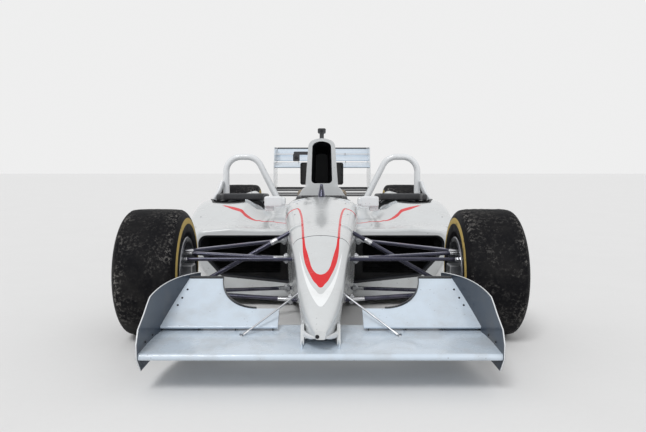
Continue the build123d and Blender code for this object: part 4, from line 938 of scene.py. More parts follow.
def finishes():
    """The car's materials, made once."""
    if _finishes:
        return _finishes
    scene = bpy.context.scene
    colours, sizes = scene.racing_car_colours, scene.racing_car_sizes
    painted = partial(painted_bodywork, colours=colours, sizes=sizes)
    body, black, tinted = colours.body, colours.composite, colours.endplate
    fine_weave = {"tow": 0.0016, "coat": 0.55, "rough": 0.24, "contrast": 1.2, "relief": 0.02}
    flat_weave = {"tow": 0.003, "coat": 0.25, "rough": 0.42, "contrast": 1.6, "relief": 0.06}
    _finishes.update(
        nose=painted("nose_paint", body, interior="tub", livery="nose", seams=(-0.192,)),
        pods=painted("pod_paint", body, interior="pod", livery="pod", seams=(1.9785,)),
        cover=painted("cover_paint", body, interior="airbox", seams=(1.9815, 2.36)),
        blister=painted("blister_paint", body, livery="nose"),
        # The wing finish carries the blue tint of a painted sky reflection
        wings=painted("wing_paint", colours.wing),
        small=painted("fittings_paint", colours.fittings),
        composite=bare_composite("black_composite", black, colours),
        # The arms' blue coat and specular tint colour their reflections as a painted sky reflection
        arms=bare_composite("arm_composite", black, colours, tint=(0.68, 0.68, 1.0), **fine_weave),
        endplates=bare_composite("endplate_composite", tinted, colours, **flat_weave),
        alloy=metal("wheel_alloy", (0.42, 0.43, 0.45), 0.26, 500.0, 0.04),
        carrier=metal("carrier_alloy", (0.52, 0.53, 0.55), 0.3, 500.0, 0.08),
        steel=metal("steel_parts", (0.62, 0.63, 0.65), 0.2, 700.0, 0.02),
        casting=metal("engine_casting", (0.20, 0.205, 0.215), 0.5, 380.0, 0.7, cast=True),
        fins=metal("core_fins", (0.05, 0.052, 0.055), 0.45, 160.0, 0.3, cast=True),
        # Blackened steel, also used as painted shade in the disc's holes and the fasteners' slots
        dark_steel=metal("blackened_steel_and_hole_shade", (0.035, 0.036, 0.04), 0.38, 300.0, 0.15),
        brass=metal("anodised_nut", (0.45, 0.07, 0.03), 0.28, 500.0, 0.04),
        mirror=metal("mirror_glass", (0.86, 0.88, 0.9), 0.03, 40.0, 0.0, spread=0.01),
        seat=cloth("seat_cloth", colours.seat, 0.0022),
        collar=cloth("collar_cover", colours.collar, 0.0016, 0.25, 0.7),
        webbing=cloth("strap_webbing", colours.webbing, 0.0028, 0.2, 0.75),
        grip=moulded("wheel_grip", (0.02, 0.02, 0.022), 0.62),
        rubber_trim=moulded("edge_rubber", (0.012, 0.012, 0.013), 0.5),
        display=moulded("display_glass", (0.006, 0.007, 0.009), 0.12, 60.0, 0.01),
        red_lens=moulded("red_lens", (0.42, 0.008, 0.012), 0.14, 90.0, 0.02),
        buttons=moulded("buttons", (0.55, 0.42, 0.05), 0.4, 300.0, 0.05),
        screen=clear_screen("clear_screen"),
        heat=heated_steel("heat_steel"),
    )
    return _finishes


# Finish of a frame node by its name, or else by its slot

NODE_FINISH = {
    "nose_cone": "nose", "monocoque": "nose", "pod_left": "pods", "pod_right": "pods",
    "engine_cover": "cover", "front_wing": "wings", "front_flaps": "wings", "rear_wing": "wings",
    "front_endplates": "endplates", "rear_endplates": "small", "roll_hoops": "small",
    "mirrors": "small", "wing_stays": "carrier", "front_wishbones": "arms",
    "front_pushrods": "arms", "rear_wishbones": "arms", "track_rods": "arms",
}
SLOT_FINISH = {
    "white_bodywork": "small", "black_composite": "composite", "endplate_composite": "endplates",
    "wheel_alloy": "alloy", "steel_parts": "steel", "carrier_alloy": "carrier",
    "engine_casting": "casting", "core_fins": "fins", "red_lens": "red_lens",
    "wheel_grip": "grip", "heat_steel": "heat", "slick_rubber": "rubber_trim",
    "seat_cloth": "seat", "collar_foam": "collar",
}

# Points closer than this are merged
MERGE_WITHIN = 2e-6


def build(name, shapes, finish, body="chassis", sharp=38):
    """Joins shapes into one mesh, gives it a finish and hangs it on a body of the frame."""
    steps = np.cumsum([0] + [len(points) for points, _ in shapes[:-1]])
    points = np.concatenate([points for points, _ in shapes])
    faces = np.concatenate([faces + step for (_, faces), step in zip(shapes, steps)])
    mesh = bpy.data.meshes.new(name)
    mesh.from_pydata(points.tolist(), [], faces.tolist())
    tidied(mesh, MERGE_WITHIN)
    mesh.shade_smooth()
    mesh.set_sharp_from_angle(angle=math.radians(sharp))
    mesh.materials.append(finishes()[finish])
    piece = bpy.data.objects.new(name, mesh)
    bpy.context.scene.collection.objects.link(piece)
    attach(piece, body)
    return piece


# Places shared by several pieces: the front flaps' trailing edge with the radius and middle of its
# cut beside the nose, the front of the rear endplates, the radiators' faces, and the ball joints

FLAP_EDGE, FLAP_CUT, FLAP_CENTRE = -0.335, 0.170, 0.283
REAR_PLATE = 3.260
RADIATOR_FACE = 0.8735
UPPER_JOINT, LOWER_JOINT = (0.75, 0.0, 0.426), (0.75, 0.0, 0.218)

# The passengers' distance from the car's middle, their openings, and both kinds of seat as stations
# and heights

PASSENGER = 0.618
PASSENGER_OPENING = (0.204, 0.150, 1.240, 1.810, 0.070)
PASSENGER_SEAT = (
    (1.300, 0.112), (1.44, 0.113), (1.56, 0.118), (1.630, 0.140), (1.680, 0.210), (1.740, 0.325),
    (1.800, 0.435), (1.842, 0.520),
)
DRIVER_SEAT = (
    (1.200, 0.114), (1.34, 0.115), (1.46, 0.120), (1.530, 0.140), (1.580, 0.204), (1.640, 0.315),
    (1.700, 0.425), (1.742, 0.500),
)

# Each opening: its middle, half width, half width at the nose, front, rear and corner, and its skins

OPENINGS = {
    "cockpit": ((0.0, 0.200, 0.130, 1.100, 1.740, 0.070), ("monocoque", "engine_cover")),
    "cabin_left": ((PASSENGER, *PASSENGER_OPENING), ("pod_left", "engine_cover")),
    "cabin_right": ((-PASSENGER, *PASSENGER_OPENING), ("pod_right", "engine_cover")),
}

# Each seat: its middle, half width and side view

SEATS = {
    "driver": (0.0, 0.158, DRIVER_SEAT),
    "passenger_left": (PASSENGER, 0.138, PASSENGER_SEAT),
    "passenger_right": (-PASSENGER, 0.138, PASSENGER_SEAT),
}


def flap_height(station):
    """Height of the flap's upper face: a parabola through its front, middle and trailing edge."""
    return arched((np.asarray(station) + 0.605) / 0.27, 0.200, 0.268, 0.352)


def plate_x(station):
    """X of the front endplate's middle: straight, then a parabola inboard."""
    back = np.clip((np.asarray(station) + 0.76) / 0.51, 0, None)
    return 0.697 - 0.118 * back**1.92


def on_plate(stations, heights, inboard):
    """Points beside the front endplate's middle."""
    return np.column_stack([plate_x(stations) - inboard, stations + FRONT_AXLE, heights])


def rear_corners(x, half, rear, corner, count):
    """Plan of an opening's two rear corners, each a quarter circle, with its sides' ends."""
    a = np.linspace(0, np.pi / 2, count)
    left = np.stack([x + half - corner + corner * np.cos(a), rear - corner + corner * np.sin(a)], 1)
    right = np.stack([x - half + corner - corner * np.sin(a), rear - corner + corner * np.cos(a)], 1)
    return np.concatenate([left, right])


def opening_outline(x, half, nose_half, front, rear, corner, count):
    """Plan of a cockpit opening: an arc at the front, spreading sides and rounded rear corners."""
    t = np.linspace(-1, 1, 25)
    nose = np.stack([x + nose_half * t, front - 0.4 * nose_half * (1 - t**2)], 1)
    spread = front + 1.2 * half
    corners = rear_corners(x, half, rear, corner, 9)
    plan = np.concatenate([nose, [(x + half, spread)], corners, [(x - half, spread)]])
    return even(plan_path(plan, 0.0), count, closed=True)


def on_skin(path, inset, nodes):
    """The plan path moved outwards by inset and dropped onto the skin from above."""
    moved = path + inset * unit((path - path.mean(0)) * (1, 1, 0))
    moved[:, 2] = OVERHEAD
    return touch(moved, DOWN, *nodes)[0]


def ring_points(centre, radius, turn, first=1, second=2):
    """Points round a centre at angles t: radius times cos t on one axis and sin t on another."""
    points = np.tile(np.asarray(centre, float), (len(turn), 1))
    points[:, first] += radius * np.cos(turn)
    points[:, second] += radius * np.sin(turn)
    return points


def from_face(start, sign, *rows):
    """A profile whose distances run outwards from a face on the car's side of that sign."""
    return [(start + sign * distance, radius) for distance, radius in rows]


# Operators, one for each group of pieces


class RACINGCAR_OT_finishes(bpy.types.Operator):
    """Gives every node of the frame its procedural finish"""

    bl_idname = "racing_car.finishes"
    bl_label = "Node finishes"

    def execute(self, context):
        made = finishes()
        for node, piece in frame["nodes"].items():
            piece.data.materials.clear()
            piece.data.materials.append(made[NODE_FINISH.get(node, SLOT_FINISH[SLOT_OF[node]])])
        return {"FINISHED"}


class RACINGCAR_OT_tyres(bpy.types.Operator):
    """Models the four slick tyres: a bulged wall, round shoulders, a crowned tread and rubber pick-up"""

    bl_idname = "racing_car.tyres"
    bl_label = "Tyres"

    TURNS = 288
    RIB_RADII = (0.206, 0.212, 0.286)

    def execute(self, context):
        colours, sizes = context.scene.racing_car_colours, context.scene.racing_car_sizes
        for axle_seed, axle in ((0, "front"), (2, "rear")):
            for side, sign in SIDES.items():
                node = f"{axle}_tyre_{side}"
                finishes()[node] = slick_rubber(node + "_rubber", sign, middle_of(node), colours)
                shape = self.tyre(node, axle_seed + (sign > 0), sizes.crumb)
                body = node.replace("tyre", "wheel")
                piece = build(node + "_rubber", [shape], node, body)
                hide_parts(node)
        return {"FINISHED"}

    def tyre(self, node, seed, crumb):
        """The wall and tread as one profile turned round the axle. The profile runs from bead to bead:
        a smooth curve through the wall, shoulder and crown, and straight back inside the bead."""
        low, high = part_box(node)
        half, tread = (high.x - low.x) / 2, (high.z - low.z) / 2
        wall = [
            (half - 0.0125, 0.1662), (half - 0.0125, 0.183), (half - 0.004, 0.203),
            (half - 0.0004, 0.235), (half - 0.001, 0.268), (half - 0.009, tread - 0.030),
            (half - 0.028, tread - 0.0085), (half - 0.055, tread - 0.0022),
            (half * 0.35, tread - 0.0003), (0, tread),
        ]
        side = curve(wall, 52)
        profile = np.concatenate([side * (-1, 1), side[-2::-1]])
        across, level = profile.T
        noise_on = partial(noise_grid, len(profile), self.TURNS)
        crumbs = np.clip(noise_on((26, 90), seed) - 0.12, 0, None) * 1.8
        crumbs *= 0.4 + 0.6 * np.clip(0.5 + noise_on((3, 8), seed + 20), 0, 1)
        on_tread = np.clip((level - (tread - 0.02)) / 0.014, 0, 1)
        on_tread *= np.clip(1.06 - np.abs(across) / half, 0, 0.06) / 0.06
        ribs = sum(bell(level - radius, 0.0016) for radius in self.RIB_RADII)
        along = across + np.sign(across) * 0.0009 * ribs * (np.abs(across) > half * 0.8)
        turn = angles(self.TURNS)[None]
        contact = 0.5 + 0.5 * np.cos(turn + np.pi / 2)
        worn = crumb * crumbs * on_tread[:, None] * (contact <= 0.999)
        radius = np.minimum(level[:, None] - 0.0006 + worn, tread + 0.0025 * (contact <= 0.97))
        grid = np.stack([along[:, None] + 0 * turn, radius * np.cos(turn), radius * np.sin(turn)], -1)
        return grid_shape(middle_of(node) + grid, True)


class RACINGCAR_OT_wheels(bpy.types.Operator):
    """Adds rolled rim flanges, ribbed spokes, the brake disc's holes, a nut, its pegs and a valve"""

    bl_idname = "racing_car.wheels"
    bl_label = "Wheel details"

    FLANGE = ((0.0, 0.158), (0.0015, 0.1785), (0.0045, 0.1805), (0.0065, 0.1785), (0.0068, 0.158))
    STEP = ((0.0, 0.151), (0.0, 0.1575), (-0.020, 0.1575), (-0.022, 0.1545), (-0.022, 0.151))
    HUB_RING = ((0.0, 0.040), (0.006, 0.042), (0.007, 0.054), (0.0, 0.060))
    NUT = (
        (0.0, 0.0), (0.0, 0.037), (0.005, 0.038), (0.020, 0.0355), (0.023, 0.030), (0.023, 0.021),
        (0.012, 0.019), (0.012, 0.0),
    )
    PEG = ((0.0, 0), (0.0, 0.005), (0.008, 0.005), (0.010, 0.003), (0.010, 0))
    DISC_HOLES = ((0.122, 36, 0.0), (0.108, 30, 0.06), (0.094, 24, 0.03))
    DISC_THICKNESS, FRONT_DISC, DISC_GAP = 0.022, 0.770, 0.020
    FLANGE_INSET, STEP_INSET, FACE_INSET = 0.010, 0.014, 0.028
    SPOKES = 10

    def execute(self, context):
        for axle in ("front", "rear"):
            disc = self.FRONT_DISC if axle == "front" else float(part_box("rear_uprights")[1].x)
            for side, sign in SIDES.items():
                tyre, body = f"{axle}_tyre_{side}", f"{axle}_wheel_{side}"
                low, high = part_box(tyre)
                centre, half = middle_of(tyre), (high.x - low.x) / 2
                self.rim(body, centre, half, sign)
                self.centre_lock(body, centre, half * sign, sign)
                self.disc_holes(body, centre * (0, 1, 1) + sign * (disc + self.DISC_GAP) * ACROSS, sign)
        return {"FINISHED"}

    def rim(self, body, centre, half, sign):
        """The rim's flanges and outer step, and two ribs on each spoke with a ring at their hub."""
        edges = [from_face(s * (half - self.FLANGE_INSET), s, *self.FLANGE) for s in (1, -1)]
        edges.append(from_face(sign * (half - self.STEP_INSET), sign, *self.STEP))
        flanges = [turned(edge, centre, sides=120, ring=True) for edge in edges]
        build(body + "_flanges", flanges, "alloy", body)
        face, ribs = sign * (half - self.FACE_INSET), []
        t = np.linspace(0, 1, 12)
        reach = 0.048 + 0.106 * t
        for lean in (-0.13, 0.13):
            outward, turn = face + sign * (0.001 + 0.011 * t**2), lean * t * 1.1
            path = centre + np.stack([outward, reach * np.sin(turn), reach * np.cos(turn)], 1)
            rib = tube(path, 0.0062 - 0.0015 * t, 0.006, up=ACROSS, sides=10, power=3)
            ribs.append(spun(rib, centre, self.SPOKES, np.pi / self.SPOKES))
        ribs.append(turned(from_face(face, sign, *self.HUB_RING), centre, sides=60, ring=True))
        build(body + "_spokes", ribs, "alloy", body)

    def centre_lock(self, body, centre, outer, sign):
        """The wheel nut with its dogs, the drive pegs round it and the valve."""
        face = outer - self.FACE_INSET * sign
        dog = block(centre + (face + sign * 0.012, 0, 0.037), (0.010, 0.005, 0.004), 6, 7, 12)
        nut = turned(from_face(face, sign, *self.NUT), centre, sides=48)
        build(body + "_nut", [nut, spun(dog, centre, 6)], "brass", body)
        peg = turned(from_face(face, sign, *self.PEG), centre + (0, 0, 0.049), sides=10)
        stem = [(outer - inset * sign, 0.02, z) for inset, z in ((0.04, 0.156), (0.02, 0.148), (0.01, 0.143))]
        valve = tube(centre + np.array(stem), 0.0032, up=(0, 1, 0), sides=10)
        build(body + "_pegs", [spun(peg, centre, self.SPOKES), valve], "steel", body)

    def disc_holes(self, body, inner_face, sign):
        """Rows of holes on both faces of the brake disc, drawn as flat dark discs whose colour is painted
        shade inside the holes.
        """
        hole, holes = stud(0.0032, 0.0005, 8, 0.0003), []
        for radius, count, first in self.DISC_HOLES:
            places = ring_points(inner_face, radius, first + angles(count))
            holes.append(copies(hole, places, -sign * ACROSS))
            holes.append(copies(hole, places + sign * self.DISC_THICKNESS * ACROSS, sign * ACROSS))
        build(body + "_disc_holes", holes, "dark_steel", body)


class RACINGCAR_OT_seats(bpy.types.Operator):
    """Models the padded seats: a crowned squab and back with raised sides and sewn channels"""

    bl_idname = "racing_car.seats"
    bl_label = "Seats"

    # Half thickness, rise of the sides, and widths of a sewn groove and of the bead beside it
    HALF_THICK, BOLSTER, GROOVE, BEAD = 0.0265, 0.014, 0.0028, 0.009
    SQUARED = 3.2

    def execute(self, context):
        for name, seat in SEATS.items():
            grid = blown(partial(self.pad, *seat), (74, 36), (180, 84), 0.007)
            piece = build(name + "_seat_pad", [grid_shape(grid)], "seat", sharp=80)
            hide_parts("driver_seat" if name == "driver" else "passenger_seats")
        return {"FINISHED"}

    def pad(self, x, half, rows, count, sides):
        """A flat oval carried along the seat's side view, a little hollow between raised sides, with
        both ends rounded. The sewn points lie in lines across the middle and along both sides; the
        detail sinks a narrow groove along each and rounds a bead beside it."""
        side_view = curve([at(x, *row) for row in rows], 400)
        path, run, travelled, end, rounding = pad_path(side_view, count, 0.028)
        normal = np.cross(ACROSS, run)
        turn = angles(sides)
        wide, thick = bent(np.cos(turn), self.SQUARED), bent(np.sin(turn), self.SQUARED)
        front = np.clip(np.sin(turn), 0, None)[None] ** 0.5
        bolster = front * self.BOLSTER * np.abs(wide)[None] ** 4
        across = np.abs(np.cos(turn))
        channels = np.linspace(0, travelled[-1], 13)[1:-1]
        groove, beads = (
            sum(bell(travelled - place, width) for place in channels)[:, None]
            for width in (self.GROOVE, self.BEAD)
        )
        middle = np.clip((0.72 - across) / 0.04, 0, 1)[None]
        piping = bell(across - 0.76, 0.022)[None]
        sink = -0.0030 * groove * middle - 0.0028 * piping + 0.0012 * (beads - groove) * middle
        place = (
            path[:, None]
            + (half * (0.9 + 0.1 * rounding))[:, None, None] * wide[None, :, None] * ACROSS
            + ((self.HALF_THICK * thick[None] + bolster) * rounding[:, None])[..., None] * normal[:, None]
        )
        detail = (front * sink * rounding[:, None])[..., None] * normal[:, None]
        on_channel = beside_channel(travelled, channels) & (across < 0.74)[None]
        on_piping = (np.abs(across - 0.78) < 0.06)[None] | (np.sin(turn) < -0.2)[None]
        sewn = on_channel | on_piping | (end < 0.01)[:, None]
        return with_poles(path, place, sewn, detail)


class RACINGCAR_OT_harness(bpy.types.Operator):
    """Lays a five-point harness on each seat, with its buckle and adjusters"""

    bl_idname = "racing_car.harness"
    bl_label = "Harness"

    BUCKLE = (
        (-0.008, 0), (-0.008, 0.026), (0.003, 0.027), (0.007, 0.024), (0.008, 0.012), (0.011, 0.010),
        (0.011, 0),
    )

    # Rows of the seat's 90 even steps, from its front edge, that the straps and metalwork lie on
    CROTCH, LAP, SHOULDERS = slice(16, 30), [30, 33, 36, 38], slice(38, 86)
    CROTCH_MIDDLE, LAP_MIDDLE, HUB, ADJUSTER = 22, 34, 31, 58
    LIFT, HALF_THICK = 0.0365, 0.0016

    # A shoulder strap's distance from the middle at its foot, and how much further out its top is
    SHOULDER_APART, SHOULDER_SPREAD = 0.022, 0.050
    ADJUSTER_HALF = (0.027, 0.016, 0.004)

    def execute(self, context):
        wide = context.scene.racing_car_sizes.strap / 2
        band = partial(tube, sides=12, power=5)
        for name, (x, half, rows) in SEATS.items():
            path = even(curve([at(x, *row) for row in rows], 240), 90)
            run = unit(np.gradient(path, axis=0))
            out = np.cross(ACROSS, run)
            above = path + self.LIFT * out
            back = above[self.SHOULDERS]
            share = np.linspace(0, 1, len(back))[:, None]
            straps, metalwork = [], []
            for side in (-1, 1):
                apart = self.SHOULDER_APART + self.SHOULDER_SPREAD * share
                shoulder = back + side * apart * ACROSS
                straps.append(band(shoulder, self.HALF_THICK, wide, up=ACROSS))
                near, far = [(0.02, 0, 0.002), (0.07, 0, 0.004)], (half - 0.004, 0.01, -0.012)
                beside = np.array([*near, (half - 0.026, 0, 0.008), far])
                lap = curve(above[self.LAP] + beside * (side, 1, 1), 30)
                straps.append(band(lap, wide * 0.9, self.HALF_THICK, up=out[self.LAP_MIDDLE]))
                axes = (ACROSS, run[self.ADJUSTER], out[self.ADJUSTER])
                adjuster = shoulder[self.ADJUSTER - self.SHOULDERS.start] + (0, -0.003, 0.003)
                metalwork.append(block(adjuster, self.ADJUSTER_HALF, 5, 9, 20, axes))
            up = out[self.CROTCH_MIDDLE]
            straps.append(band(above[self.CROTCH], wide * 0.8, self.HALF_THICK, up=up))
            facing = out[self.HUB]
            metalwork.append(turned(self.BUCKLE, above[self.HUB] + 0.006 * facing, facing, 36))
            build(name + "_straps", straps, "webbing", sharp=60)
            build(name + "_buckle", metalwork, "steel")
        return {"FINISHED"}


class RACINGCAR_OT_collars(bpy.types.Operator):
    """Models the padded head collars inside the rear of each opening"""

    bl_idname = "racing_car.collars"
    bl_label = "Head collars"

    # Distance inside the opening, length along its sides, and the top's heights
    INSET, REACH = 0.0225, 0.188
    COCKPIT_TOP, CABIN_TOP, TOP_TO_MIDDLE = 0.632, 0.645, 0.031
    HALF_WIDE, HALF_THICK, SQUARED = 0.0195, 0.0265, 3.4
    GROOVE, SUNK = 0.0022, 0.0018

    def execute(self, context):
        for name, ((x, half, _, _, rear, corner), _) in OPENINGS.items():
            wide, reach = half - self.INSET, rear - self.REACH
            bend = rear_corners(x, wide, rear - self.INSET, corner - self.INSET, 14)
            plan = np.concatenate([[(x + wide, reach)], bend, [(x - wide, reach)]])
            top = self.COCKPIT_TOP if name == "cockpit" else self.CABIN_TOP
            path = even(plan_path(plan, top - self.TOP_TO_MIDDLE), 150)
            grid = blown(partial(self.pad, path), (92, 24), (220, 60), 0.003)
            piece = build(name + "_collar_pad", [grid_shape(grid)], "collar", sharp=80)
            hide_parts("head_surrounds")
        return {"FINISHED"}

    def pad(self, path, count, sides):
        """A rounded oblong carried round the collar, closed in rounded ends. It is sewn round at even
        steps and along both upper edges; the detail sinks a narrow groove there."""
        path, run, travelled, end, rounding = pad_path(path, count, 0.02)
        across = unit(np.cross(run, UP))
        seams = np.linspace(0, travelled[-1], 8)[1:-1]
        groove = sum(bell(travelled - place, self.GROOVE) for place in seams)[:, None]
        turn = angles(sides)
        edge = sum(bell(turn - np.pi * share, 0.05) for share in (0.28, 0.72))[None]
        outward = (
            bent(np.cos(turn), self.SQUARED)[None, :, None] * self.HALF_WIDE * across[:, None]
            + bent(np.sin(turn), self.SQUARED)[None, :, None] * self.HALF_THICK * UP
        ) * rounding[:, None, None]
        sink = self.SUNK * np.maximum(groove, edge) * rounding[:, None]
        sewn = beside_channel(travelled, seams) | (edge > 0.5) | (end < 0.008)[:, None]
        return with_poles(path, path[:, None] + outward, sewn, -unit(outward + 1e-9) * sink[..., None])


class RACINGCAR_OT_openings(bpy.types.Operator):
    """Runs rubber edging round each opening and stands a clear deflector at its front"""

    bl_idname = "racing_car.openings"
    bl_label = "Opening edges and deflectors"

    # Distances of the edging and the screen from the opening's outline, the screen's length behind
    # the opening's front and distance from its middle, and the height of the screen and its ends
    EDGE_INSET, SCREEN_INSET = 0.006, 0.030
    SCREEN_REACH, SCREEN_INNER = 0.10, 0.080
    SCREEN_HIGH, SCREEN_LOW = 0.036, 0.004

    def execute(self, context):
        trim = context.scene.racing_car_sizes.trim
        for name, (shape, nodes) in OPENINGS.items():
            plan = opening_outline(*shape, 240)
            edge = on_skin(plan, self.EDGE_INSET, nodes) + 0.001 * UP
            edging = tube(edge, trim, 0.0045, closed=True, sides=12, power=3)
            build(name + "_edging", [edging], "rubber_trim")
            if name != "cockpit":
                ahead = np.roll(on_skin(plan, self.SCREEN_INSET, nodes), 120, axis=0)
                self.deflector(name, shape[0], shape[3], ahead)
        return {"FINISHED"}

    def deflector(self, name, middle, front, ahead):
        """A thin screen on the front of an opening's outline, low at both ends."""
        in_front = ahead[:, 1] < FRONT_AXLE + front + self.SCREEN_REACH
        inner = (middle - ahead[:, 0]) * np.sign(middle) > self.SCREEN_INNER
        base = even(ahead[in_front & inner], 48)
        zero = 0 * base[:, 0]
        lean = unit(np.stack([(middle - base[:, 0]) * 0.25, zero + 0.05, zero + 0.08], 1))
        rise = np.sin(np.linspace(0.12, 1, 48) * np.pi) ** 0.6 * self.SCREEN_HIGH + self.SCREEN_LOW
        up = np.linspace(0, 1, 12)[:, None, None]
        grid = base[None] + up * (rise[:, None] * lean)[None] + 0.002 * UP
        build(name + "_deflector", [shell(grid, (0, 0.0026, 0.0008))], "screen")


class RACINGCAR_OT_front_wing(bpy.types.Operator):
    """Adds the front wing's strips, separators, rims, bolts and stay ends, and the nose's lips"""

    bl_idname = "racing_car.front_wing"
    bl_label = "Front wing details"

    SEPARATOR = (
        (-0.600, 0.187), (-0.560, 0.212), (-0.520, 0.222), (-0.517, 0.176), (-0.560, 0.172),
        (-0.600, 0.170),
    )
    SEPARATOR_X = (0.205, 0.365, 0.520)
    LOWER_STRIP = ((0.205, -0.519, 0.179), (0.664, -0.519, 0.179))
    PILLAR_FOOT = ((0.073, -0.835, 0.171), (0.073, -0.560, 0.173))
    PLATE_FOOT = ((-0.860, 0.088), (-0.275, 0.088), (-0.250, 0.110))
    PLATE_FRONT = ((-0.80, 0.293), (-0.88, 0.255), (-0.909, 0.205), (-0.909, 0.150))
    NOSE_LIP = (
        (0.024, -0.864, 0.220), (0.044, -0.818, 0.211), (0.062, -0.768, 0.206),
        (0.075, -0.690, 0.203), (0.078, -0.600, 0.201),
    )
    STAY = ((0.060, -0.500, 0.345), (0.329, -0.670, 0.172))
    STAY_TAB = (
        (-0.006, -0.010, -0.006), (0.012, 0.010, -0.006), (0.008, 0.008, 0.008),
        (-0.006, -0.006, 0.010),
    )

    # The endplate's bolts: three in the flap, behind its front, and three in the main plane
    BOLT_STATIONS, FLAP_FRONT = (-0.398, -0.445, -0.487, -0.80, -0.70, -0.60), -0.55

    def execute(self, context):
        gurney = self.flap_gurney(context.scene.racing_car_sizes.gurney / 2)
        edge = even(run_of(*self.LOWER_STRIP), 12)
        strips = both(gurney, tube(edge, 0.0018, 0.0045, sides=12, power=6))
        build("flap_gurneys", strips, "composite")
        separators = [
            slab(run_of(*((x, *row) for row in self.SEPARATOR)), ACROSS, 0.0035)
            for x in self.SEPARATOR_X
        ]
        build("flap_separators", both(*separators), "composite")
        build("endplate_rims", both(self.plate_rim()), "small")
        line = even(run_of(*self.PILLAR_FOOT), 24)
        wide = 0.017 * np.sin(np.linspace(0.15, 1, 24) * 1.5)
        build("pillar_fillets", both(tube(line, wide, 0.017, sides=28, power=0.9)), "wings", sharp=60)
        lip = even(curve(run_of(*self.NOSE_LIP), 60), 40)
        swell = np.sin(np.linspace(0.04, 0.93, 40) * np.pi) ** 0.5
        build("nose_lips", both(tube(lip, 0.0095 * swell, 0.013 * swell, sides=20)), "small")
        build("stay_ends", both(*self.stay_ends()), "steel")
        build("endplate_bolts", both(*self.plate_bolts()), "dark_steel")
        return {"FINISHED"}

    def flap_gurney(self, tall):
        """A strip on the flap's trailing edge, straight and then round the cut beside the nose."""
        a = np.linspace(0, np.pi / 2, 40)
        arc = np.stack([FLAP_CENTRE + FLAP_CUT * np.cos(a), FLAP_EDGE - FLAP_CUT * np.sin(a)], 1)
        ends = (plate_x(FLAP_EDGE) - 0.004, FLAP_EDGE), (FLAP_CENTRE + FLAP_CUT, FLAP_EDGE)
        plan = np.concatenate([np.linspace(*ends, 24)[:-1], arc])
        path = plan_path(plan, 0.0)
        path[:, 2] = flap_height(plan[:, 1]) + 0.004
        height = tall * np.concatenate([np.ones(23), np.linspace(1, 0.55, 40)])
        return tube(path, 0.0022, height, sides=12, power=6)

    def plate_rim(self):
        """A round rim along the front endplate's outline, whose top is a parabola."""
        t = np.linspace(0, 1, 30)
        crest = np.stack([-0.25 - 0.46 * t, arched(t, 0.364, 0.371, 0.345)], 1)
        outline = np.concatenate([self.PLATE_FOOT, crest, self.PLATE_FRONT])
        rim = even(on_plate(*outline.T, 0.0), 260, closed=True)
        rim[:, 0] = plate_x(rim[:, 1] - FRONT_AXLE)
        return tube(rim, 0.0025, up=(1, 0.2, 0), closed=True, sides=10, power=2.6)

    def stay_ends(self):
        """The fittings at both ends of the wing's stay and the tab under its foot."""
        head, foot = (at(*place) for place in self.STAY)
        line = unit(foot - head)
        wide = 0.0062 - 0.0016 * np.linspace(0, 1, 10)
        ends = ((head + line * 0.030, line), (foot - line * 0.012, -line))
        fittings = [tube(np.linspace(place, place + way * 0.026, 10), wide, sides=6) for place, way in ends]
        return [*fittings, slab(foot + np.array(self.STAY_TAB), (1, 0.9, 0), 0.004)]

    def plate_bolts(self):
        """The endplate's bolts: heads on the flaps and the main plane inside, and heads outside."""
        stations = np.array(self.BOLT_STATIONS)
        on_flap = stations > self.FLAP_FRONT
        heights = np.where(on_flap, flap_height(stations) + 0.0005, 0.185)
        slope = np.column_stack([-np.ones(6), np.where(stations > -0.7, -0.35, 0.0), np.zeros(6)])
        inside = on_plate(stations, heights, np.where(on_flap, 0.027, 0.003))
        facing = np.where(on_flap[:, None], (0, -0.5, 0.85), slope)
        heads = copies(stud(0.0046, 0.005), inside, facing)
        return heads, copies(stud(0.0052, 0.003), on_plate(stations, heights, -0.003), -slope)


class RACINGCAR_OT_fasteners(bpy.types.Operator):
    """Sets slotted fasteners into the body panels along their seams, and a socket in the nose"""

    bl_idname = "racing_car.fasteners"
    bl_label = "Panel fasteners"

    SPOTS = {
        "pod_left": [
            (0.33, 1.955), (0.45, 1.955), (0.58, 1.955), (0.71, 1.955), (0.83, 1.955),
            (0.33, 0.72), (0.33, 0.88), (0.33, 1.05), (0.80, 0.74), (0.80, 0.92),
        ],
        "engine_cover": [
            (0.30, 2.005), (0.45, 2.005), (0.58, 2.005), (0.71, 2.005), (0.82, 2.005),
            (0.40, 2.45), (0.50, 2.40), (0.62, 2.34),
        ],
        "monocoque": [(0.155, 0.45), (0.155, 0.62), (0.155, 0.80), (0.155, 0.97)],
    }
    FLANK_STATIONS, FLANK_HEIGHTS = (1.10, 1.40, 1.70, 1.93), (0.18, 0.42)
    SOCKET = ((0.0035, 0.0), (0.0035, 0.0065), (0.0012, 0.0078), (-0.002, 0.0078), (-0.002, 0.0))
    SOCKET_PLACE = (-0.012, -1.2, 0.228)

    def execute(self, context):
        radius = context.scene.racing_car_sizes.fastener
        head = stud(radius, 0.0012, 14)
        # Each slot is a raised dark block whose colour is painted shade of a recessed slot
        slot = block((0, 0, 0.0014), (radius * 0.75, 0.0008, 0.0006), 6, 5, 12)
        found = [
            touch([at(x, station, OVERHEAD) for x, station in spots], DOWN, node)
            for node, spots in self.SPOTS.items()
        ]
        beside = [at(1.2, station, z) for station in self.FLANK_STATIONS for z in self.FLANK_HEIGHTS]
        flank = touch(beside, -ACROSS, "pod_left")
        heads = [copies(head, *where) for where in (*found, flank)]
        build("panel_fasteners", both(*heads), "steel")
        build("fastener_slots", both(*(copies(slot, *where) for where in found)), "dark_steel")
        where = touch([at(*self.SOCKET_PLACE)], (0, 1, 0), "nose_cone")
        build("nose_socket", [copies(turned(self.SOCKET, axis=UP, sides=24), *where)], "dark_steel")
        return {"FINISHED"}


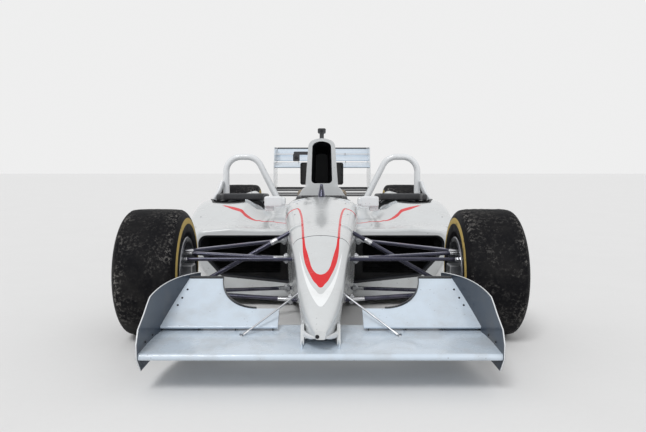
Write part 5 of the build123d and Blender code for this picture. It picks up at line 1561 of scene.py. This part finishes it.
class RACINGCAR_OT_suspension(bpy.types.Operator):
    """Adds the arms' metal ends, brackets and bellows, the pushrods' blisters and the rod ends"""

    bl_idname = "racing_car.suspension"
    bl_label = "Suspension fittings"

    # Each front arm: its ball joint, the middle of its inner end and X of the tub's wall there
    FRONT_ARMS = (
        (UPPER_JOINT, (0.120, -0.010, 0.392), 0.170),
        (UPPER_JOINT, (0.190, 0.375, 0.445), 0.205),
        (LOWER_JOINT, (0.090, -0.010, 0.176), 0.150),
        (LOWER_JOINT, (0.160, 0.385, 0.160), 0.190),
    )
    ROD_EYE = ((-0.0095, 0.0115), (-0.0095, 0.0195), (0.0095, 0.0195), (0.0095, 0.0115))
    EYE_X, EYE_STATION, EYE_HEIGHT, SHANK = 0.75, -0.100, 0.405, (0.022, 0.077)

    # The pushrod's ends, its collars' distances from the outer one, and half of a collar's length
    PUSHROD = ((0.700, 0.006, 0.222), (0.144, 0.100, 0.530))
    COLLARS, COLLAR_HALF = (0.034, 0.52), 0.020

    # The blister: X where it starts, and each slot edge's station with the length along it
    BLISTER_START = 0.097
    BLISTER_EDGES = ((0.045, 0.071), (0.155, 0.081))

    def execute(self, context):
        self.arms()
        self.pushrods()
        eyes = []
        for sign in SIDES.values():
            eye = at(sign * self.EYE_X, self.EYE_STATION, self.EYE_HEIGHT)
            eyes.append(turned(self.ROD_EYE, eye, UP, 32, ring=True))
            shank = np.linspace(*(eye - sign * reach * ACROSS for reach in self.SHANK), 10)
            eyes.append(tube(shank, 0.0108, sides=6))
        build("track_rod_ends", eyes, "steel", "steering_rack")
        return {"FINISHED"}

    def arms(self):
        """The front arms' metal ends, their brackets on the tub and the ball joints' bellows."""
        sleeves, brackets, bolts = [], [], []
        taper = 1 + 0.16 * np.cos(np.linspace(0, np.pi / 2, 14))
        wide = 0.0212 * taper * np.linspace(0.92, 1.0, 14)
        ends = np.array([UP, -UP])
        for joint, inner, wall in self.FRONT_ARMS:
            start, end = at(*joint), at(*inner)
            along = unit(end - start)
            level = unit(np.cross(along, UP))
            root = start + along * ((start[0] - wall) / -along[0])
            for place, first, last in ((start, 0.024, 0.085), (root, -0.004, -0.075)):
                sleeve = np.linspace(place + along * first, place + along * last, 14)
                sleeves.append(tube(sleeve, wide, 0.0094 * taper, sides=20, power=3))
            foot = root - along * 0.010
            brackets.append(block(foot, (0.015, 0.012, 0.021), 5, 11, 20, (along, level, UP)))
            bolts.append(copies(stud(0.0085, 0.007, 6), foot + 0.020 * ends, ends))
        folds = [(z, 0.0235 + 0.0012 * (k % 2)) for k, z in enumerate(np.linspace(-0.011, 0.011, 9))]
        bellows = [(-0.012, 0.009), *folds, (0.012, 0.009)]
        for joint in (UPPER_JOINT, LOWER_JOINT):
            bolts.append(turned(bellows, at(*joint), UP, 28, ring=True))
        build("arm_ends", both(*sleeves), "steel")
        build("arm_brackets", both(*brackets, *bolts), "carrier")

    def pushrods(self):
        """A blister on the tub's skin over each pushrod and two collars on the rod."""
        t = np.linspace(0, 1, 31)
        skin = [
            touch([at(x, station, OVERHEAD) for x in self.BLISTER_START + reach * t], DOWN, "monocoque")[0]
            for station, reach in self.BLISTER_EDGES
        ]
        swell = np.sqrt(np.clip(1 - (2 * t - 1) ** 2, 0.004, 1))
        blister = tube(np.mean(skin, 0), 0.010 * swell, 0.027 * swell**0.8, (0, 1, 0), 40, 2.2)
        build("pushrod_blisters", both(blister), "blister")
        foot, head = (at(*place) for place in self.PUSHROD)
        line = unit(head - foot)
        t = np.linspace(-1, 1, 15)
        swell = 0.0125 + 0.0022 * (1 - t**2)
        collars = [
            tube(foot + np.outer(reach + self.COLLAR_HALF * t, line), swell) for reach in self.COLLARS
        ]
        build("pushrod_collars", both(*collars), "steel")


class RACINGCAR_OT_radiators(bpy.types.Operator):
    """Folds a pack of fins across each radiator and lays its tubes over them"""

    bl_idname = "racing_car.radiators"
    bl_label = "Radiator fins"

    # The fins' sides, heights and the depth of a fold, and the tubes' ends, heights and spacing
    FIN_SIDES, FIN_HEIGHTS, FOLD = (0.275, 0.735), (0.165, 0.420), 0.0035
    TUBE_SIDES, TUBE_HEIGHTS = (0.270, 0.745), (0.175, 0.42, 0.0135)

    def execute(self, context):
        columns = 2 * context.scene.racing_car_sizes.fins + 1
        x, z = np.linspace(*self.FIN_SIDES, columns), np.linspace(*self.FIN_HEIGHTS, 3)
        fold = FRONT_AXLE + RADIATOR_FACE + self.FOLD * (np.arange(columns) % 2)
        grid = np.stack(np.broadcast_arrays(x, fold, z[:, None]), -1)
        build("radiator_fins", both(shell(grid, (0, 0.0015, 0))), "fins", sharp=20)
        rails = [
            tube(run_of(*((x, RADIATOR_FACE, z) for x in self.TUBE_SIDES)), 0.0042, 0.0012, UP, 8, 4)
            for z in np.arange(*self.TUBE_HEIGHTS)
        ]
        build("radiator_tubes", both(*rails), "dark_steel")
        return {"FINISHED"}


class RACINGCAR_OT_mirrors(bpy.types.Operator):
    """Fits the mirrors' housings, glasses, bezels and lower housings, and the cowl fin's shell"""

    bl_idname = "racing_car.mirrors"
    bl_label = "Mirror details"

    X, HEIGHT = 0.329, 0.622
    GLASS_STATION, GLASS_HALF_WIDE, GLASS_HALF_HIGH = 1.0985, 0.055, 0.0285
    HOUSING_STATION, HOUSING_HALF = 1.066, (0.062, 0.033, 0.035)
    LOWER_PLACE, LOWER_HALF = (0.358, 1.072, 0.577), (0.031, 0.018, 0.020)
    FIN_FOOT, FIN_TOP = (0, 1.010, 0.650), (0, 1.032, 0.738)

    def execute(self, context):
        t = angles(48)
        wide, high = self.GLASS_HALF_WIDE * bent(np.cos(t), 7), self.GLASS_HALF_HIGH * bent(np.sin(t), 7)
        loop = at(self.X, self.GLASS_STATION, self.HEIGHT) + np.stack([wide, 0 * t, high], 1)
        build("mirror_glasses", both(slab(loop, (0, 1, 0), 0.003, 0.0015)), "mirror")
        bezel = tube(loop, 0.0022, 0.003, up=(0, 1, 0), closed=True, sides=10, power=3)
        build("mirror_bezels", both(bezel), "rubber_trim")
        housing = block(at(self.X, self.HOUSING_STATION, self.HEIGHT), self.HOUSING_HALF, 8, 25, 56)
        build("mirror_housings", both(housing), "small")
        lower = block(at(*self.LOWER_PLACE), self.LOWER_HALF, 7, 15, 32)
        build("mirror_lower_housings", both(lower), "small")
        t = np.linspace(0, 1, 24)
        spine = np.linspace(at(*self.FIN_FOOT), at(*self.FIN_TOP), 24)
        fin = tube(spine, 0.025 * (1 - 0.62 * t**1.3), 0.048 - 0.022 * t, (0, 1, 0), 32, 2.2)
        build("cowl_fin_shell", [fin], "arms")
        return {"FINISHED"}


class RACINGCAR_OT_steering_wheel(bpy.types.Operator):
    """Adds moulded grips, a blank display, buttons and shift paddles to the steering wheel"""

    bl_idname = "racing_car.steering_wheel"
    bl_label = "Steering wheel details"

    BUTTON = ((-0.003, 0), (-0.003, 0.0062), (0.004, 0.0058), (0.0052, 0.004), (0.0052, 0))
    BUTTON_PLACES = ((0.060, 0.014), (0.078, 0.014), (0.060, -0.010), (0.078, -0.010))
    CENTRE, TILT = (0, 1.300, 0.500), math.radians(14)

    # Distances from the wheel's middle towards the driver, and out to the grips and the paddles
    GRIPS, FACE, PADDLES = 0.013, 0.028, -0.012
    GRIP_OUT, PADDLE_OUT = 0.1215, 0.088
    GRIP_HALF_LONG, DISPLAY_HALF, PADDLE_HALF = 0.062, (0.042, 0.021, 0.004), (0.034, 0.020, 0.0022)

    def execute(self, context):
        centre = at(*self.CENTRE)
        axis = np.array((0, math.cos(self.TILT), math.sin(self.TILT)))
        rise = np.array((0, -math.sin(self.TILT), math.cos(self.TILT)))
        axes = (ACROSS, rise, axis)
        t = np.linspace(-1, 1, 30)
        swell = 0.0145 + 0.0016 * np.cos(t * 9) - 0.002 * t**4
        upright = centre + axis * self.GRIPS + np.outer(self.GRIP_HALF_LONG * t, rise)
        bow = np.outer(self.GRIP_OUT - 0.008 * t**2, ACROSS)
        grips = [tube(upright + sign * bow, swell, swell * 1.1, up=axis, sides=20) for sign in (-1, 1)]
        build("steering_grips", grips, "grip", "steering_wheel")
        face = centre + axis * self.FACE
        display = block(face, self.DISPLAY_HALF, 7, 9, 28, axes)
        build("steering_display", [display], "display", "steering_wheel")
        knobs = [
            turned(self.BUTTON, face + sign * x * ACROSS + y * rise - axis * 0.002, axis, 18)
            for sign in (-1, 1)
            for x, y in self.BUTTON_PLACES
        ]
        build("steering_buttons", knobs, "buttons", "steering_wheel")
        behind = centre + axis * self.PADDLES
        paddles = [
            block(behind + sign * self.PADDLE_OUT * ACROSS, self.PADDLE_HALF, 4, 9, 24, axes)
            for sign in (-1, 1)
        ]
        build("shift_paddles", paddles, "composite", "steering_wheel")
        return {"FINISHED"}


class RACINGCAR_OT_hoops(bpy.types.Operator):
    """Adds the roll hoops' bolted feet and the fairings outside them"""

    bl_idname = "racing_car.hoops"
    bl_label = "Hoop feet and fairings"

    FOOT = ((-0.004, 0), (-0.004, 0.045), (0.003, 0.045), (0.006, 0.040), (0.014, 0.028), (0.014, 0))

    # Each foot: X, the station where the skin's height is found, and how far behind it the foot is
    FEET = ((0.775, 1.82, 0.06), (0.366, 1.88, 0.0))
    BOLT_CIRCLE = 0.036
    FAIRING = ((0.802, 1.840, 0.735), (0.818, 1.830, 0.640), (0.880, 1.800, 0.572))

    def execute(self, context):
        feet, bolts = [], []
        foot = turned(self.FOOT, axis=UP, sides=36)
        for x, station, behind in self.FEET:
            hit, normal = touch([at(x, station, OVERHEAD)], DOWN, "pod_left")
            place = hit[0] + (0, behind, 0)
            feet.append(copies(foot, place, normal))
            ring = ring_points(place, self.BOLT_CIRCLE, angles(4) + 0.78, 0, 1)
            bolts.append(copies(stud(0.0055, 0.009, 6), ring, UP))
        t = np.linspace(0, 1, 26)
        spine = np.stack([(1 - t) ** 2, 2 * t * (1 - t), t**2], 1) @ run_of(*self.FAIRING)
        swell = np.sin(np.pi * np.clip(t * 0.85 + 0.15, 0, 1)) ** 0.5
        wide, high = 0.012 + 0.050 * swell * np.linspace(0.5, 1, 26), 0.006 + 0.012 * swell
        fairing = tube(spine, wide, high, up=(0.9, 0, 0.3), sides=28, power=2.4)
        build("hoop_fairings", both(fairing), "small")
        build("hoop_feet", both(*feet), "small")
        build("hoop_bolts", both(*bolts), "steel")
        return {"FINISHED"}


class RACINGCAR_OT_rear(bpy.types.Operator):
    """Details the wing, rain light, exhausts, gearbox and camera lenses"""

    bl_idname = "racing_car.rear"
    bl_label = "Rear details"

    # Each plane's strip: its distance behind the endplates' front, height and half sizes
    STRIPS, HALF_SPAN = ((0.449, 1.036, 0.0018, 0.009), (0.299, 0.612, 0.0015, 0.006)), 0.490
    SEPARATOR = ((-0.020, -0.016), (0.020, -0.010), (0.030, 0.012), (-0.012, 0.010))
    SEPARATOR_X, SLOTS = (-0.25, 0.0, 0.25), ((0.252, 0.892), (0.372, 0.976))

    # Places behind the rear endplates' front, with heights
    PLATE_BOLTS = (
        (0.06, 0.842), (0.14, 0.852), (0.22, 0.872), (0.28, 0.918), (0.35, 0.950), (0.41, 1.004),
        (0.10, 0.542), (0.19, 0.558), (0.26, 0.590),
    )
    PIPE = ((0.150, 2.640, 0.520), (0.200, 2.900, 0.580))
    PIPE_LIP = (
        (-0.010, 0.0342), (-0.010, 0.0392), (-0.002, 0.0405), (0.0015, 0.0385), (0.0015, 0.0350),
        (-0.002, 0.0342),
    )
    PIPE_BAND = ((-0.004, 0.0382), (-0.004, 0.0405), (0.004, 0.0405), (0.004, 0.0382))
    LENS = ((0.0, 0), (0.0, 0.013), (-0.006, 0.013), (-0.007, 0.010), (-0.004, 0.009), (-0.003, 0))
    LENS_PLACES = ((0.0, 1.831, 1.138), (-0.205, 1.841, 0.925))
    BOLT_RING, BOLT_RING_HALF = (0, 2.612, 0.26), (0.112, 0.16)
    DRIVE_FLANGE_X, DRIVE_FLANGE_HEIGHT, FLANGE_CIRCLE = 0.1195, 0.330, 0.042
    RIB_X, RIB_STATIONS = (-0.075, -0.025, 0.025, 0.075), (2.64, 3.20)

    def execute(self, context):
        self.wing()
        low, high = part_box("rain_light")
        left, right, back = low.x + 0.006, high.x - 0.006, high.y + 0.0005
        ribs = [
            tube([(left, back, z), (right, back, z)], 0.0022, 0.0016, sides=8)
            for z in np.linspace(low.z + 0.006, high.z - 0.006, 6)
        ]
        build("rain_light_ribs", ribs, "red_lens")
        lips = []
        for sign in (-1, 1):
            start, end = (at(sign * x, station, z) for x, station, z in self.PIPE)
            line = unit(end - start)
            lips.append(turned(self.PIPE_LIP, end, line, 48, ring=True))
            lips.append(turned(self.PIPE_BAND, end - line * 0.06, line, 48, ring=True))
        build("exhaust_lips", lips, "heat")
        self.gearbox()
        lenses = [turned(self.LENS, at(*place), (0, 1, 0), 32) for place in self.LENS_PLACES]
        build("camera_lenses", lenses, "display")
        return {"FINISHED"}

    def wing(self):
        """Strips on both planes' trailing edges, slot separators and the endplates' bolts."""
        strips = []
        for behind, z, wide, high in self.STRIPS:
            edge = run_of(*((x, REAR_PLATE + behind, z) for x in (-self.HALF_SPAN, self.HALF_SPAN)))
            strips.append(tube(even(edge, 24), wide, high, sides=12, power=6))
        for x in self.SEPARATOR_X:
            for behind, height in self.SLOTS:
                loop = [at(x, REAR_PLATE + behind + s, height + z) for s, z in self.SEPARATOR]
                strips.append(slab(loop, ACROSS, 0.004))
        build("rear_wing_strips", strips, "composite")
        places = run_of(*((0.500, REAR_PLATE + behind, z) for behind, z in self.PLATE_BOLTS))
        bolt = stud(0.0065, 0.004)
        bolts = both(copies(bolt, places, ACROSS), copies(bolt, places - 0.008 * ACROSS, -ACROSS))
        build("rear_plate_bolts", bolts, "dark_steel")

    def gearbox(self):
        """Bolts round the gearbox's front and its drive flanges, and ribs along its top."""
        t = angles(16)
        wave, rise = np.cos(t), np.sin(t)
        wide, high = self.BOLT_RING_HALF
        ring = at(*self.BOLT_RING) + np.stack([wide * bent(wave, 4), 0 * t, high * bent(rise, 4)], 1)
        bolts = [copies(stud(0.008, 0.007, 6, 0.004), ring, np.stack([wave, 0 * t, rise], 1))]
        for sign in (-1, 1):
            middle = at(sign * self.DRIVE_FLANGE_X, REAR_AXLE, self.DRIVE_FLANGE_HEIGHT)
            flange = ring_points(middle, self.FLANGE_CIRCLE, angles(8))
            bolts.append(copies(stud(0.0045, 0.004, 6), flange, sign * ACROSS))
        build("gearbox_bolts", bolts, "steel")
        ribs, stations = [], np.linspace(*self.RIB_STATIONS, 8)
        for x in self.RIB_X:
            starts = [at(x * (1 - 0.1 * k), station, OVERHEAD) for k, station in enumerate(stations)]
            crest = even(curve(touch(starts, DOWN, "gearbox")[0], 40), 40)
            ribs.append(tube(crest, 0.003, 0.005, sides=8, power=3))
        build("gearbox_ribs", ribs, "casting")


class RACINGCAR_OT_stage(bpy.types.Operator):
    """Sets the pale floor, soft light and the camera"""

    bl_idname = "racing_car.stage"
    bl_label = "Stage"

    FLOOR_HALF = 40
    CAMERA_PLACE, CAMERA_TILT, LENS, SENSOR = (0.01, -4.645, 0.897), math.radians(85), 35.0, 36.0

    # Each sun: its name, strength, angular size and rotation
    SUNS = (("key", 1.35, 0.35, (0.62, -0.30, 0.0)), ("fill", 0.35, 0.8, (0.9, 0.9, 0.0)))

    def execute(self, context):
        scene = context.scene
        mesh = bpy.data.meshes.new("floor_sheet")
        corners = self.FLOOR_HALF * np.array([(-1, -1, 0), (1, -1, 0), (1, 1, 0), (-1, 1, 0)])
        mesh.from_pydata(corners.tolist(), [], [(0, 1, 2, 3)])
        floor = bpy.data.objects.new("floor_sheet", mesh)
        mesh.materials.append(stage_finish("floor_matt", (0.78, 0.78, 0.78)))
        scene.collection.objects.link(floor)
        scene.world = self.studio()
        for name, energy, angle, turn in self.SUNS:
            lamp = bpy.data.lights.new(name, "SUN")
            lamp.energy, lamp.angle = energy, angle
            holder = bpy.data.objects.new(name, lamp)
            holder.rotation_euler = turn
            scene.collection.objects.link(holder)
        camera = bpy.data.objects.new("camera", bpy.data.cameras.new("camera"))
        scene.collection.objects.link(camera)
        camera.location = self.CAMERA_PLACE
        camera.rotation_euler = (self.CAMERA_TILT, 0, 0)
        camera.data.lens, camera.data.sensor_width = self.LENS, self.SENSOR
        scene.camera = camera
        scene.view_settings.view_transform = "Standard"
        return {"FINISHED"}

    def studio(self):
        """A white world, brighter where it is seen, mirrored or looked through than as a light."""
        world = bpy.data.worlds.new("studio")
        world.use_nodes = True
        tree = world.node_tree
        rays = put(tree, "LightPath").outputs
        seen, glossy, clear = (
            Signal(tree, rays[f"Is {kind} Ray"]) for kind in ("Camera", "Glossy", "Transmission")
        )
        background = tree.nodes["Background"].inputs
        background["Color"].default_value = (1, 1, 1, 1)
        feed(background["Strength"], mix(calc("MINIMUM", seen + (glossy + clear), 1.0), 0.62, 0.86))
        return world


OPERATORS = (
    RACINGCAR_OT_stage,
    RACINGCAR_OT_finishes,
    RACINGCAR_OT_tyres,
    RACINGCAR_OT_wheels,
    RACINGCAR_OT_seats,
    RACINGCAR_OT_harness,
    RACINGCAR_OT_collars,
    RACINGCAR_OT_openings,
    RACINGCAR_OT_front_wing,
    RACINGCAR_OT_fasteners,
    RACINGCAR_OT_suspension,
    RACINGCAR_OT_radiators,
    RACINGCAR_OT_mirrors,
    RACINGCAR_OT_steering_wheel,
    RACINGCAR_OT_hoops,
    RACINGCAR_OT_rear,
)


class RACINGCAR_PT_panel(bpy.types.Panel):
    """Lists the car's operators and settings"""

    bl_label = "Racing car"
    bl_idname = "RACINGCAR_PT_panel"
    bl_space_type = "VIEW_3D"
    bl_region_type = "UI"
    bl_category = "Racing car"

    def draw(self, context):
        for operator in OPERATORS:
            self.layout.operator(operator.bl_idname)
        for settings in (context.scene.racing_car_colours, context.scene.racing_car_sizes):
            box = self.layout.box()
            for name in settings.__annotations__:
                box.prop(settings, name)


CLASSES = (CarColours, CarSizes, *OPERATORS, RACINGCAR_PT_panel)


def register():
    """Registers the classes and hangs the settings on the scene."""
    for item in CLASSES:
        bpy.utils.register_class(item)
    bpy.types.Scene.racing_car_colours = PointerProperty(type=CarColours)
    bpy.types.Scene.racing_car_sizes = PointerProperty(type=CarSizes)


def unregister():
    """Takes the settings off the scene and unregisters the classes."""
    del bpy.types.Scene.racing_car_sizes
    del bpy.types.Scene.racing_car_colours
    for item in reversed(CLASSES):
        bpy.utils.unregister_class(item)


def main():
    """Builds everything in order."""
    register()
    for operator in OPERATORS:
        group_name, call = operator.bl_idname.split(".")
        getattr(getattr(bpy.ops, group_name), call)()


if __name__ == "__main__":
    main()
